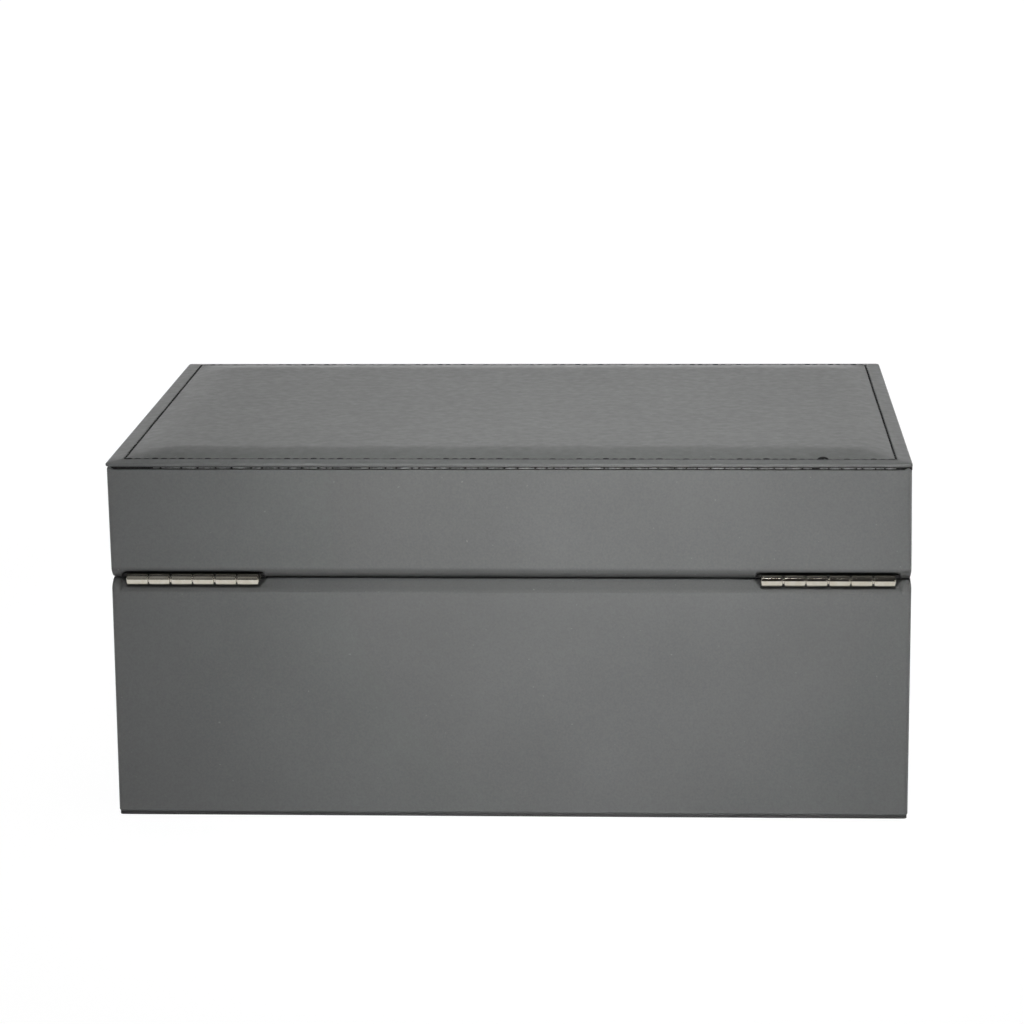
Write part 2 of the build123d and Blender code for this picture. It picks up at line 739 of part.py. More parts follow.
# Lock case: a folded box under a flange, slotted on top for the keeper's tongue.
room_x_span = (-case_half_width + lock_wall, case_half_width - lock_wall)
with BuildPart() as lock_case:
    block((-case_half_width, case_half_width), lock_case_y_span, (lock_case_floor_z, flange_z))
    block((-flange_half_width, flange_half_width), flange_y_span, (flange_z, base_height))
    block(room_x_span, lock_room_y_span, (lock_case_floor_z + lock_wall, flange_z), Mode.SUBTRACT)
    slot_half = tongue_thickness / 2 + tongue_fit
    block((-slot_half, slot_half), lock_room_y_span, (flange_z, base_height + overrun), Mode.SUBTRACT)
    stub(0, plug_z, plug_radius + bolt_fit, (lock_case_y_span[0], lock_mid_y), Mode.SUBTRACT)
    countersink(flange_screw_xs, flange_screw_y, base_height, -1)
finish(lock_case, "lock_case")

# Bezel: a flanged sleeve through leather and board in which the plug turns.
with BuildPart() as lock_bezel:
    stub(0, plug_z, bezel_radius, (front_y - bezel_proud, front_y))
    chamfer(faces().sort_by(Axis.Y)[0].edges(), bezel_chamfer)
    stub(0, plug_z, sleeve_radius, (front_y, lock_case_y_span[0]))
    sleeve_y_span = (front_y - bezel_proud, lock_case_y_span[0])
    stub(0, plug_z, plug_radius + running_fit, sleeve_y_span, Mode.SUBTRACT)
finish(lock_bezel, "lock_bezel")

# Plug: turns with the key and carries a cam pin that drives the bolt.
cam_start_x = -bolt_travel / 2
cam_start_z = plug_z - bolt_travel / 2
with BuildPart() as lock_plug:
    stub(0, plug_z, plug_radius, (front_y - plug_proud, plug_inner_y))
    stub(cam_start_x, cam_start_z, cam_radius, (plug_inner_y, lock_room_y_span[1] - bolt_fit))
    block(
        (-key_slot_width / 2, key_slot_width / 2),
        (front_y - plug_proud, front_y - plug_proud + key_slot_depth),
        (plug_z - key_slot_height / 2, plug_z + key_slot_height / 2),
        Mode.SUBTRACT,
    )
finish(lock_plug, "lock_plug")

# Bolt: a plate driven by the cam pin, with an arm whose bar goes through the tongue's window.
bolt_y_span = (lock_mid_y - bolt_thickness / 2, lock_mid_y + bolt_thickness / 2)
bolt_arm_end = -bolt_travel - tongue_thickness / 2 - bolt_fit
bolt_left_x = bolt_arm_end - bolt_arm
bolt_top_z = window_mid_z + bolt_bar_height / 2
plate_top_z = tongue_tip_z - bolt_fit
plate_low_z = lock_case_floor_z + lock_wall + bolt_fit
cam_slot_half = cam_radius + cam_fit
with BuildPart() as lock_bolt:
    block((bolt_left_x, bolt_travel), bolt_y_span, (plate_low_z, plate_top_z))
    block((bolt_left_x, bolt_arm_end), bolt_y_span, (plate_top_z, bolt_top_z))
    bolt_bar_end = -tongue_thickness / 2 - tongue_fit
    block((bolt_left_x, bolt_bar_end), bolt_y_span, (bolt_top_z - bolt_bar_height, bolt_top_z))
    block(
        (cam_start_x - cam_slot_half, cam_start_x + cam_slot_half),
        bolt_y_span,
        (plug_z - cam_swing - cam_slot_half, plug_z - bolt_travel / 2 + cam_slot_half),
        Mode.SUBTRACT,
    )
finish(lock_bolt, "lock_bolt")

# Keeper: a plate in the lid's front rim with a tongue and its window.
with BuildPart() as lock_keeper:
    keeper_z_span = (lid_rim_z, lid_rim_z + leaf_thickness)
    block((-keeper_half_width, keeper_half_width), flange_y_span, keeper_z_span)
    tongue_x_span = (-tongue_thickness / 2, tongue_thickness / 2)
    tongue_y_span = (lock_mid_y - tongue_depth / 2, lock_mid_y + tongue_depth / 2)
    block(tongue_x_span, tongue_y_span, (tongue_tip_z, lid_rim_z))
    window_half = tongue_depth / 2 - tongue_bar
    block(
        tongue_x_span,
        (lock_mid_y - window_half, lock_mid_y + window_half),
        window_z_span,
        Mode.SUBTRACT,
    )
    countersink(keeper_screw_xs, flange_screw_y, lid_rim_z, 1)
finish(lock_keeper, "lock_keeper")

with BuildPart() as lock_screws:
    wood_screws(flange_screw_xs, flange_screw_y, base_height, -1)
finish(lock_screws, "lock_screws")

with BuildPart() as keeper_screws:
    wood_screws(keeper_screw_xs, flange_screw_y, lid_rim_z, 1)
finish(keeper_screws, "keeper_screws")
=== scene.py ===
import json
import math

import bmesh
import bpy
import numpy as np
from mathutils import Matrix, Vector

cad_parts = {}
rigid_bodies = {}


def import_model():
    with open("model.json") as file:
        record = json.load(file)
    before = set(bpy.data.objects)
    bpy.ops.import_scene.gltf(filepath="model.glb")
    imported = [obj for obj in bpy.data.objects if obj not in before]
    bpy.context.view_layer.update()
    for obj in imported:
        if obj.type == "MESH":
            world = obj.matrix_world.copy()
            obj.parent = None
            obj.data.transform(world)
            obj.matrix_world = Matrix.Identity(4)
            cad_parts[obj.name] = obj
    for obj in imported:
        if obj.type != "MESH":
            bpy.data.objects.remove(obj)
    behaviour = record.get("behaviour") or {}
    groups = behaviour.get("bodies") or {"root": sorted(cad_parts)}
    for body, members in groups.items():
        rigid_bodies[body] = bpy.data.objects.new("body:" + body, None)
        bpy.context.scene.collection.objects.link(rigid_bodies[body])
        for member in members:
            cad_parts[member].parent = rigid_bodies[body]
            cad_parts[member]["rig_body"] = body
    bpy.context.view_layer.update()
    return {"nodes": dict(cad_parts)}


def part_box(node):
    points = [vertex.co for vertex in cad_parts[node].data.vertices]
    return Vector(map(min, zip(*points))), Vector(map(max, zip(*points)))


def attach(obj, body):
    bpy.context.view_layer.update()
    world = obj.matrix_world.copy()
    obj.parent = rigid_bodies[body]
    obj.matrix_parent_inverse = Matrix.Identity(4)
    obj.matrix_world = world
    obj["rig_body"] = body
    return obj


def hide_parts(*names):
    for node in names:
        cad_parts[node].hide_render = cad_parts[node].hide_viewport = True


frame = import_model()

# Tiered jewelry box: leatherette over boards, a padded top panel, velvet inside, nickel fittings.
# +Z is up, +Y is the hinge side that the photograph shows, and lengths are metres.

MM = 0.001


def ends(node):
    """Lowest and highest corner of a CAD node as arrays, in metres."""
    low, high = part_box(node)
    return np.array(low), np.array(high)


base_low, base_high = ends("base_leather")
lid_low, lid_high = ends("lid_leather")
slab_low, slab_high = ends("top_leather")
card_high = ends("top_card")[1]
side_x = base_high[0]
back_y = base_high[1]
front_y = base_low[1]
mid_y = (back_y + front_y) / 2
half_depth = (back_y - front_y) / 2
rim_z = base_high[2]
slab_half_y = (slab_high[1] - slab_low[1]) / 2
leather = slab_high[0] - card_high[0]
slab_rim_z = card_high[2] + leather

# Mesh work: how near two corners are merged, how near a cut's plane counts as on it, the least
# step that clears a face, the depth within which a corner belongs to a cover's outer skin, how much
# further that depth reaches past the rebate, the angle up to which faces lie in one plane, and how
# many points a rounded corner has.
MERGE_DISTANCE = 0.002 * MM
CUT_DISTANCE = 0.001 * MM
HAIR = 0.01 * MM
SKIN_DEPTH = 0.3 * MM
SKIN_MARGIN = 0.05 * MM
FLAT_ANGLE = math.radians(0.4)
ARC_POINTS = 5

# Padded top: the rim and its fall towards the edge, the groove, and the crown inside it. Its
# section goes through shares of the rim's width, and through shares of the groove's width and depth.
SLAB_RIM = 5.9 * MM
RIM_FALL = 0.45 * MM
GROOVE_WIDTH = 0.95 * MM
GROOVE_DEPTH = 0.62 * MM
RIM_SHARES = (0.3, 0.45, 0.6, 0.75, 0.88)
GROOVE_SHARES = (
    (-0.25, -0.02), (0, 0.1), (0.16, 0.6), (0.33, 0.92), (0.5, 1), (0.67, 0.92), (0.84, 0.55)
)
CROWN_HEIGHT = 1.6 * MM
CROWN_ROLL = 18.5 * MM
CROWN_SLOPE = 3.5 * MM
CROWN_WAVE = 45 * MM
CROWN_WAVE_SHARE = 0.008
SLAB_CORNER = 1.6 * MM
SLAB_EDGE_WIDTH = 0.9 * MM
SLAB_EDGE_HEIGHT = 0.55 * MM
SLAB_FOOT = 0.3 * MM
SLAB_UNDERSIDE = 4.0 * MM
SLAB_LIFT = 0.02 * MM
TOP_SKEW_BACK = 0.55 * MM
TOP_SKEW_FRONT = 0.1 * MM
LID_LEAN = 0.5 * MM

# Rebate in the lid's leather under the padded top: its depth and height, the rounding below it and
# how far that draws in, and the length over which it opens from an upright corner, once past a share
# of it. In the rebate lie a black band of painted shadow and a light strip.
REBATE_DEPTH = 0.55 * MM
REBATE_HEIGHT = 1.2 * MM
REBATE_ROUND = 0.35 * MM
REBATE_SHOULDER = 0.6 * REBATE_ROUND
REBATE_END = 2.2 * MM
REBATE_CLOSED_SHARE = 0.6
SHADOW_BAND_INSET = 0.36 * MM
SHADOW_BAND_REACH = 0.9 * MM
SHADOW_BAND_OVERLAP = 0.05 * MM
STRIP_DROP = 0.55 * MM
STRIP_INSET = 0.3 * MM
STRIP_RADIUS = 0.25 * MM

# Light strip: the span of its lengths and of the gaps between them, how many are drawn for a side,
# how far they turn, and the shares of the front, right, back and left side where it begins and ends.
STRIP_LENGTHS = (1.8 * MM, 8.0 * MM)
STRIP_GAPS = (0.05 * MM, 0.25 * MM)
STRIP_DRAWS = 300
STRIP_TILT = 0.02
STRIP_SHARES = ((-0.9, 0.9), (-0.85, 0.85), (-0.89, 0.97), (-0.85, 0.85))

# Rounding of the leather over the boards' edges.
LEATHER_ROUND = 0.2 * MM

# Softness of the leather where lid and base meet at the back corners.
SOFT_REACH = 8.0 * MM
LID_SOFT_HEIGHT = 3.8 * MM
LID_SOFT_DEPTH = 1.1 * MM
BASE_SOFT_HEIGHT = 2.6 * MM
BASE_SOFT_DEPTH = 0.7 * MM

# Painted shade on the leather: how dark it is painted in the groove, below which depth and over
# which share of its width to each side, then in the rebate and round the hinges, and above the shut
# line: up to which height, over which fade, and how far in from the back.
GROOVE_SHADE = 0.95
GROOVE_SHADE_DEPTH = 0.05 * MM
GROOVE_SHADE_SHARE = 0.45
REBATE_SHADE = 0.8
HINGE_SHADE = 0.9
SEAM_SHADE = 0.36
SEAM_SHADE_HEIGHT = 4.4 * MM
SEAM_SHADE_FADE = 1.2 * MM
SEAM_SHADE_REACH = 3.0 * MM

# The base's painted shade behind a hinge begins up the bevel and ends past the barrel; the bevel's
# own painted shade grows up from its foot, and once more near its top.
HINGE_SHADE_FOOT = 1.2 * MM
HINGE_SHADE_FADE = 0.9 * MM
HINGE_SHADE_REACH = 3.6 * MM
HINGE_SHADE_SIDE = 1.2 * MM
BEVEL_SHADE = 0.17
BEVEL_SHADE_FOOT = -0.32 * MM
BEVEL_SHADE_FADE = 1.6 * MM
RIM_SHADE = 0.15
RIM_SHADE_FOOT = 3.3 * MM
RIM_SHADE_FADE = 1.0 * MM

# Ring rolls: the reach and the width share of their soft ends, how far those bulge, the shares of
# size and bulge of the sections that close them, the waviness along a roll, how squarely it is rounded
# above and below, how far below its middle that changes, and how much of its solid it fills.
ROLL_END = 6.0 * MM
ROLL_END_SHARE = 0.84
ROLL_BULGE = 0.8 * MM
TIP_SIZE_SHARES = np.array([0, 0.5, 0.9])
TIP_BULGE_SHARES = np.array([1, 0.8, 0.3])
ROLL_WAVE = 11 * MM
ROLL_WAVE_SHARE = 0.012
ROLL_POWER_ABOVE = 2.3
ROLL_POWER_BELOW = 4.5
ROLL_SPLIT_SHARE = 0.1
ROLL_WIDTH_SHARE = 0.985
ROLL_LENGTH_SHARE = 0.995
ROLL_ROOM = 0.1 * MM

# Ribbon pulls.
PULL_RADIUS = 6.5 * MM
PULL_SAG = 0.5 * MM
PULL_FLARE = 0.05
RIBBON_THICKNESS = 0.4 * MM

# Hinge knuckles: how many a hinge has, half the gap between two, their rounding and the shares of
# it that get a ring of edges, the shares of the barrel's radius within which a corner belongs to its
# skin and to the barrel, and how far knuckles draw back from every second gap and from the others.
KNUCKLES = 6
KNUCKLE_GAP = 0.1 * MM
KNUCKLE_ROUND = 0.42 * MM
ROUND_SHARES = np.array([0.08, 0.25, 0.5, 0.75, 1.0])
BARREL_SKIN_SHARE = 0.06
BARREL_REACH_SHARE = 1.1
WIDE_PLAY = 0.17 * MM
NARROW_PLAY = 0.04 * MM

# Round troughs in the lid that clear the hinge barrels: radius, reach past a barrel's ends, what
# is left of the radius there, and the margin within which a corner belongs to a trough. The leather
# gets lines of edges at some steps past a barrel's ends.
TROUGH_RADIUS = 3.0 * MM
TROUGH_REACH = 2.0 * MM
TROUGH_END_SHARE = 0.5
TROUGH_MARGIN = 0.06 * MM
BARREL_STEPS = np.array([-0.3, 0, 0.5, 1.0, 1.5, 1.9, 2.3, 3.0, 3.8]) * MM

# Stitches in the groove: their pitch, length and depth, how much height, turn and length vary, and
# their thread, whose sections stay the fuller towards a stitch's ends the lower the last value is.
STITCH_PITCH = 3.3 * MM
STITCH_LENGTH = 2.6 * MM
STITCH_SINK = 0.08 * MM
STITCH_WAVE = 0.1 * MM
STITCH_DRIFT = 0.07 * MM
STITCH_TURN = 0.05
STITCH_VARIATION = 0.08
STITCH_FLATNESS = 0.8
THREAD_RADIUS = 0.38 * MM
BEAD_FULLNESS = 0.4

# Thread knot: each loop's shift along the groove, half width and height, the thread, how deep the
# loops stand in the groove, how much a shifted one lies behind it, and what is left at a thread's tip.
KNOT_LOOPS = ((0.0, 1.7 * MM, 0.75 * MM), (0.7 * MM, 0.8 * MM, 0.4 * MM))
KNOT_RADIUS = 0.42 * MM
KNOT_SINK = 0.15 * MM
KNOT_SLANT = 0.3
KNOT_TIP_SHARE = 0.02

# Bevel along the base's back rim, measured down and inwards, and where it gets lines of edges.
BACK_BEVEL = 4.7 * MM
BEVEL_MARGIN = 0.5 * MM
BEVEL_STEPS = np.array([-0.35, 0.8, 1.2, 1.65]) * MM

# Fold of leather at each end of the bevel: its width, how far it stands proud of the side, its
# radius, where its middle lies in from the back and below the rim, its superellipse's power, and how
# much it is lumpy.
FOLD_WIDTH = 4.4 * MM
FOLD_PROUD = 0.12 * MM
FOLD_RADIUS = 1.01 * BACK_BEVEL
FOLD_DEPTH = 0.99 * BACK_BEVEL
FOLD_DROP = 1.04 * BACK_BEVEL
FOLD_POWER = 2.8
FOLD_LUMP = 0.02

# The photograph's camera, fitted to the box's corners.
EYE = (-0.06123, 1.33029, 0.38297)
EYE_YAW = 2.812
EYE_PITCH = 12.212
EYE_ROLL = -0.497
FOCAL_PIXELS = 3355.7
PHOTO_PIXELS = 1024
SENSOR_MM = 36

# Stage: half the floor's width, the brightness of the light that a white table throws up and how far
# below the floor that layer lies, the floor's own brightness, which grows a little from one distance
# to another, and the studio's glow.
STAGE_REACH = 30.0
FLOOR_GLOW = 0.32
FLOOR_LAYER = 0.5 * MM
FLOOR_SPAN = (0.4, 1.3)
FLOOR_BRIGHTNESS = (0.95, 1.02)
STUDIO_GLOW = 0.03

# White walls round the table, and the lower one before the front wall that the box's top mirrors.
WALL_DISTANCE = 8.0
WALL_HEIGHT = 2.2
MIRRORED_STEP = 0.1
MIRRORED_HEIGHT = 1.1
MIRRORED_GLOW = 1.4

# Pixel of the photograph where the thread is knotted.
KNOT_PIXEL = (823, 459)

# Pixel of the photograph where the light strip under the padded top is broken.
BREAK_PIXEL = (816, 468)
BREAK_HALF = 1.3 * MM


# Materials

def new_material(name, **constants):
    """A material and its Principled shader, with constants set on the shader's own sockets."""
    material = bpy.data.materials.new(name)
    material.use_nodes = True
    shader = material.node_tree.nodes["Principled BSDF"]
    for socket, value in constants.items():
        shader.inputs[socket.replace("_", " ")].default_value = value
    return material, shader


def add_node(material, kind, **settings):
    """A node of one kind with its attributes and, where a name is an input, its value set."""
    node = material.node_tree.nodes.new(kind)
    for name, value in settings.items():
        if name in node.inputs:
            node.inputs[name].default_value = value
        else:
            setattr(node, name, value)
    return node


def join(material, output, socket):
    """Links one node's output to another node's input."""
    material.node_tree.links.new(output, socket)


def place(material):
    """The surface's own coordinates in metres."""
    return add_node(material, "ShaderNodeTexCoord").outputs["Object"]


def noise(material, where, scale, detail, stretch=None):
    """Soft random values from 0 to 1 at so many features a metre, stretched along an axis if asked."""
    if stretch is not None:
        mapping = add_node(material, "ShaderNodeMapping", Scale=stretch)
        join(material, where, mapping.inputs["Vector"])
        where = mapping.outputs["Vector"]
    texture = add_node(material, "ShaderNodeTexNoise", Scale=scale, Detail=detail)
    join(material, where, texture.inputs["Vector"])
    return texture.outputs["Fac"]


def cells(material, where, scale):
    """Distance from the middle of small random cells, so many a metre."""
    texture = add_node(material, "ShaderNodeTexVoronoi", Scale=scale, feature="SMOOTH_F1")
    join(material, where, texture.inputs["Vector"])
    return texture.outputs["Distance"]


def ramp(material, value, stops):
    """Colours along a value: each stop is a place from 0 to 1 and a colour."""
    node = add_node(material, "ShaderNodeValToRGB")
    elements = node.color_ramp.elements
    while len(elements) < len(stops):
        elements.new(0.5)
    for element, (position, color) in zip(elements, stops):
        element.position = position
        element.color = (*color, 1)
    join(material, value, node.inputs["Fac"])
    return node.outputs["Color"]


def span_map(material, value, span, new_span):
    """A value stretched from one span to another and held inside it."""
    node = add_node(material, "ShaderNodeMapRange")
    for name, limit in zip(("From Min", "From Max", "To Min", "To Max"), (*span, *new_span)):
        node.inputs[name].default_value = limit
    join(material, value, node.inputs["Value"])
    return node.outputs["Result"]


def combine(material, operation, first, second):
    """Two values joined by one sum; the second may be a number."""
    node = add_node(material, "ShaderNodeMath", operation=operation)
    join(material, first, node.inputs[0])
    if isinstance(second, (int, float)):
        node.inputs[1].default_value = second
    else:
        join(material, second, node.inputs[1])
    return node.outputs["Value"]


def mix_colors(material, amount, first, second, blend="MIX"):
    """One colour over another by an amount, or wholly where none is given."""
    node = add_node(material, "ShaderNodeMix", data_type="RGBA", blend_type=blend)
    if amount is None:
        node.inputs["Factor"].default_value = 1
    else:
        join(material, amount, node.inputs["Factor"])
    for value, socket in ((first, node.inputs[6]), (second, node.inputs[7])):
        if isinstance(value, tuple):
            socket.default_value = (*value, 1)
        else:
            join(material, value, socket)
    return node.outputs[2]


def raise_grain(material, shader, height, depth, strength):
    """Bumps the surface by a height of 0 to 1 that stands for so many metres."""
    bump = add_node(material, "ShaderNodeBump", Strength=strength, Distance=depth)
    join(material, height, bump.inputs["Height"])
    join(material, bump.outputs["Normal"], shader.inputs["Normal"])


def grey(level, warmth=0.0):
    """A grey a little warmer or cooler than neutral."""
    return (level * (1 + warmth), level, level * (1 - warmth))


def leather_tone(level):
    """The leatherette's grey, a breath greener than neutral."""
    return (level * 0.988, level * 1.01, level * 0.996)


def make_leatherette():
    """Grey leatherette: fine pebbled grain, faint clouding, a few light specks and painted shade where its
    mesh marks it.
    """
    material, shader = new_material("grey_leatherette", Specular_IOR_Level=0.45)
    where = place(material)
    patches = noise(material, where, scale=26, detail=4)
    clouds = ramp(material, patches, [(0.3, leather_tone(0.124)), (0.7, leather_tone(0.136))])
    pebbles = noise(material, where, scale=1500, detail=2)
    flecks = ramp(material, pebbles, [(0.3, grey(0.92)), (0.7, grey(1.06))])
    tone = mix_colors(material, None, clouds, flecks, "MULTIPLY")
    # Painted shade: the colour is drawn towards near black by each corner's share of painted shade.
    shade_share = add_node(material, "ShaderNodeAttribute", attribute_name="painted_shade_share").outputs["Fac"]
    tone = mix_colors(material, shade_share, tone, grey(0.012))
    specks = span_map(material, noise(material, where, scale=620, detail=1), (0.75, 0.8), (0, 0.3))
    join(material, mix_colors(material, specks, tone, grey(0.36)), shader.inputs["Base Color"])
    wear = noise(material, where, scale=300, detail=3)
    join(material, span_map(material, wear, (0.3, 0.7), (0.38, 0.48)), shader.inputs["Roughness"])
    creased = noise(material, where, scale=900, detail=4)
    grain = combine(material, "ADD", cells(material, where, scale=1700), creased)
    raise_grain(material, shader, grain, depth=0.026 * MM, strength=0.6)
    return material


def make_velvet(name, tone, warmth):
    """Short-pile velvet: soft patches where the pile lies another way, and fine fuzz."""
    material, shader = new_material(
        name, Roughness=0.9, Specular_IOR_Level=0.15, Sheen_Weight=0.55, Sheen_Roughness=0.45
    )
    where = place(material)
    strokes = noise(material, where, scale=32, detail=3)
    patches = ramp(material, strokes, [(0.35, grey(tone * 0.88, warmth)), (0.65, grey(tone, warmth))])
    fuzz = noise(material, where, scale=2600, detail=2)
    dark_share = span_map(material, fuzz, (0.35, 0.7), (0, 0.35))
    shade = mix_colors(material, dark_share, patches, grey(tone * 0.7, warmth))
    join(material, shade, shader.inputs["Base Color"])
    raise_grain(material, shader, fuzz, depth=0.12 * MM, strength=0.7)
    return material


def make_nickel():
    """Polished nickel with faint drawn lines and a little tarnish."""
    material, shader = new_material("polished_nickel", Metallic=1.0)
    where = place(material)
    tarnish = noise(material, where, scale=420, detail=3)
    join(material, ramp(material, tarnish, [(0.3, (0.49, 0.46, 0.385)), (0.7, (0.55, 0.525, 0.46))]),
         shader.inputs["Base Color"])
    drawn = noise(material, where, scale=1500, detail=2, stretch=(0.06, 1, 1))
    join(material, span_map(material, drawn, (0.3, 0.7), (0.11, 0.15)), shader.inputs["Roughness"])
    raise_grain(material, shader, drawn, depth=0.0008 * MM, strength=0.5)
    return material


def make_mirror():
    """Mirror glass, very smooth, with the faintest breath of haze."""
    material, shader = new_material("mirror_glass", Metallic=1.0)
    where = place(material)
    haze = noise(material, where, scale=40, detail=4)
    join(material, ramp(material, haze, [(0.3, (0.84, 0.87, 0.86)), (0.7, (0.88, 0.9, 0.9))]),
         shader.inputs["Base Color"])
    join(material, span_map(material, haze, (0.3, 0.8), (0.01, 0.035)), shader.inputs["Roughness"])
    return material


def make_fibre(name, dark, light, scale):
    """Fibreboard or card: matte, with short fibres of two tones."""
    material, shader = new_material(name, Roughness=0.85, Specular_IOR_Level=0.2)
    where = place(material)
    fibres = noise(material, where, scale=scale, detail=4, stretch=(1, 0.35, 1))
    join(material, ramp(material, fibres, [(0.35, dark), (0.65, light)]), shader.inputs["Base Color"])
    raise_grain(material, shader, fibres, depth=0.08 * MM, strength=0.6)
    return material


def make_thread():
    """Black polyester thread, twisted."""
    material, shader = new_material("black_thread", Roughness=0.55, Specular_IOR_Level=0.3)
    where = place(material)
    twist = noise(material, where, scale=5200, detail=1)
    join(material, ramp(material, twist, [(0.35, grey(0.006)), (0.65, grey(0.022))]),
         shader.inputs["Base Color"])
    raise_grain(material, shader, twist, depth=0.05 * MM, strength=0.6)
    return material


def make_ribbon():
    """Satin ribbon: fine weft lines across it and a soft sheen."""
    material, shader = new_material(
        "satin_ribbon", Roughness=0.38, Specular_IOR_Level=0.5, Sheen_Weight=0.3, Sheen_Roughness=0.3
    )
    where = place(material)
    weft = noise(material, where, scale=5200, detail=1, stretch=(1, 0.08, 1))
    join(material, ramp(material, weft, [(0.35, grey(0.30, 0.04)), (0.65, grey(0.38, 0.04))]),
         shader.inputs["Base Color"])
    raise_grain(material, shader, weft, depth=0.03 * MM, strength=0.6)
    return material


leatherette = make_leatherette()
velvet = make_velvet("greige_velvet", 0.47, 0.06)
flock = make_velvet("underside_flock", 0.075, 0.0)
nickel = make_nickel()
mirror_glass = make_mirror()
board = make_fibre("fibreboard", (0.36, 0.25, 0.15), (0.48, 0.36, 0.23), 900)
# Near-black boards: painted shade for the hinge pockets at the back.
shade_black_board = make_fibre("shade_black_board", grey(0.006), grey(0.016), 900)
card = make_fibre("grey_card", (0.33, 0.31, 0.28), (0.42, 0.4, 0.37), 1400)
# Near-black card: a sheet of painted shadow in the rebate under the padded top.
shadow_black = make_fibre("shadow_black", grey(0.01), grey(0.022), 1400)
strip_paper = make_fibre("strip_paper", grey(0.12), grey(0.3), 500)
thread = make_thread()
ribbon = make_ribbon()


# Making and placing pieces

def add_piece(name, mesh, material, body, smooth=True):
    """Puts a mesh in the scene with its material, on its body, with its finish's slot."""
    piece = bpy.data.objects.new(name, mesh)
    bpy.context.scene.collection.objects.link(piece)
    mesh.materials.clear()
    mesh.materials.append(material)
    mesh.polygons.foreach_set("use_smooth", np.full(len(mesh.polygons), smooth))
    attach(piece, body)
    return piece


def joined(name, meshes, flat_angle=None):
    """Meshes as one new one, their doubled corners merged and, if asked, the faces that lie in one
    plane joined."""
    edit = bmesh.new()
    for mesh in meshes:
        edit.from_mesh(mesh)
    bmesh.ops.remove_doubles(edit, verts=edit.verts, dist=MERGE_DISTANCE)
    if flat_angle is not None:
        bmesh.ops.dissolve_limit(edit, angle_limit=flat_angle, verts=edit.verts, edges=edit.edges)
    whole = bpy.data.meshes.new(name)
    edit.to_mesh(whole)
    edit.free()
    return whole


def grid_mesh(name, points, around=False):
    """A sheet of quads over a grid of points (rows, columns, 3), closed round its columns if asked."""
    rows, columns = points.shape[:2]
    last = columns if around else columns - 1
    row, column = np.meshgrid(np.arange(rows - 1), np.arange(last), indexing="ij")
    after = (column + 1) % columns
    start = row * columns
    above = start + columns
    quads = np.stack([start + column, start + after, above + after, above + column], -1).reshape(-1, 4)
    mesh = bpy.data.meshes.new(name)
    mesh.from_pydata(points.reshape(-1, 3), [], quads)
    return mesh


def round_edges(piece, width, segments=3, angle=32):
    """Rounds a piece's sharp edges and keeps its flat faces flat in the light."""
    bevel = piece.modifiers.new("edge_round", "BEVEL")
    bevel.width = width
    bevel.segments = segments
    bevel.limit_method = "ANGLE"
    bevel.angle_limit = math.radians(angle)
    bevel.use_clamp_overlap = True
    keep_flat(piece)


def cover_node(node_name, piece_name, material, width):
    """A merged copy of a CAD node that stands for it, with its edges rounded and its finish on."""
    node = frame["nodes"][node_name]
    mesh = joined(piece_name, [node.data], FLAT_ANGLE)
    piece = add_piece(piece_name, mesh, material, node["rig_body"])
    round_edges(piece, width)
    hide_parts(node_name)
    return piece


def corner_places(mesh):
    """X, Y and Z of all a mesh's corners as arrays."""
    places = np.empty(len(mesh.vertices) * 3)
    mesh.vertices.foreach_get("co", places)
    return places.reshape(-1, 3).T


def move_corners(mesh, x, y, z):
    """Puts all a mesh's corners at new places, given as arrays."""
    mesh.vertices.foreach_set("co", np.stack([x, y, z], -1).ravel())


def paint_shade(mesh, depth):
    """Stores each corner's share of painted shade, from 0 to 1, for the leatherette to darken by."""
    layer = mesh.attributes.new("painted_shade_share", "FLOAT", "POINT")
    layer.data.foreach_set("value", np.clip(depth, 0, 1).astype(np.float32))


def inset_of(x, y, half_x, half_y, radius):
    """How far points lie inside a rectangle with rounded corners, centred on the box."""
    across = np.abs(x) - (half_x - radius)
    along = np.abs(y - mid_y) - (half_y - radius)
    outside = np.hypot(np.maximum(across, 0), np.maximum(along, 0))
    return radius - outside - np.minimum(np.maximum(across, along), 0)


def slice_mesh(mesh, cuts):
    """Adds lines of edges where planes cut a mesh: each cut is an axis, 0 to 2, and a place on it."""
    edit = bmesh.new()
    edit.from_mesh(mesh)
    for axis, at in cuts:
        direction = [0, 0, 0]
        direction[axis] = 1
        bmesh.ops.bisect_plane(
            edit,
            geom=edit.verts[:] + edit.edges[:] + edit.faces[:],
            dist=CUT_DISTANCE,
            plane_co=[at * part for part in direction],
            plane_no=direction,
        )
    edit.to_mesh(mesh)
    edit.free()


def push_skin(mesh, amount):
    """Moves the outer skin of a cover inwards, each corner by its own amount. Corners of the skin on
    the box's upright corners move along both X and Y, so that the skin keeps its rounding."""
    x, y, z = corner_places(mesh)
    skin = inset_of(x, y, side_x, half_depth, SLAB_CORNER) < SKIN_DEPTH
    amount = np.where(skin, amount, 0)
    near = SLAB_CORNER + HAIR
    x = x - np.sign(x) * amount * (np.abs(x) > side_x - near)
    y = y - np.sign(y - mid_y) * amount * (np.abs(y - mid_y) > half_depth - near)
    move_corners(mesh, x, y, z)
    mesh.update()


def work_in(piece):
    """Turns a piece's modifiers into its mesh."""
    graph = bpy.context.evaluated_depsgraph_get()
    mesh = bpy.data.meshes.new_from_object(piece.evaluated_get(graph))
    piece.modifiers.clear()
    piece.data = mesh
    mesh.name = piece.name
    return mesh


def keep_flat(piece):
    """Keeps a piece's flat faces flat in the light."""
    shading = piece.modifiers.new("flat_shading", "WEIGHTED_NORMAL")
    shading.keep_sharp = True


def paint_node(node_name, material):
    """Gives a CAD node that stays its material."""
    data = frame["nodes"][node_name].data
    data.materials.clear()
    data.materials.append(material)


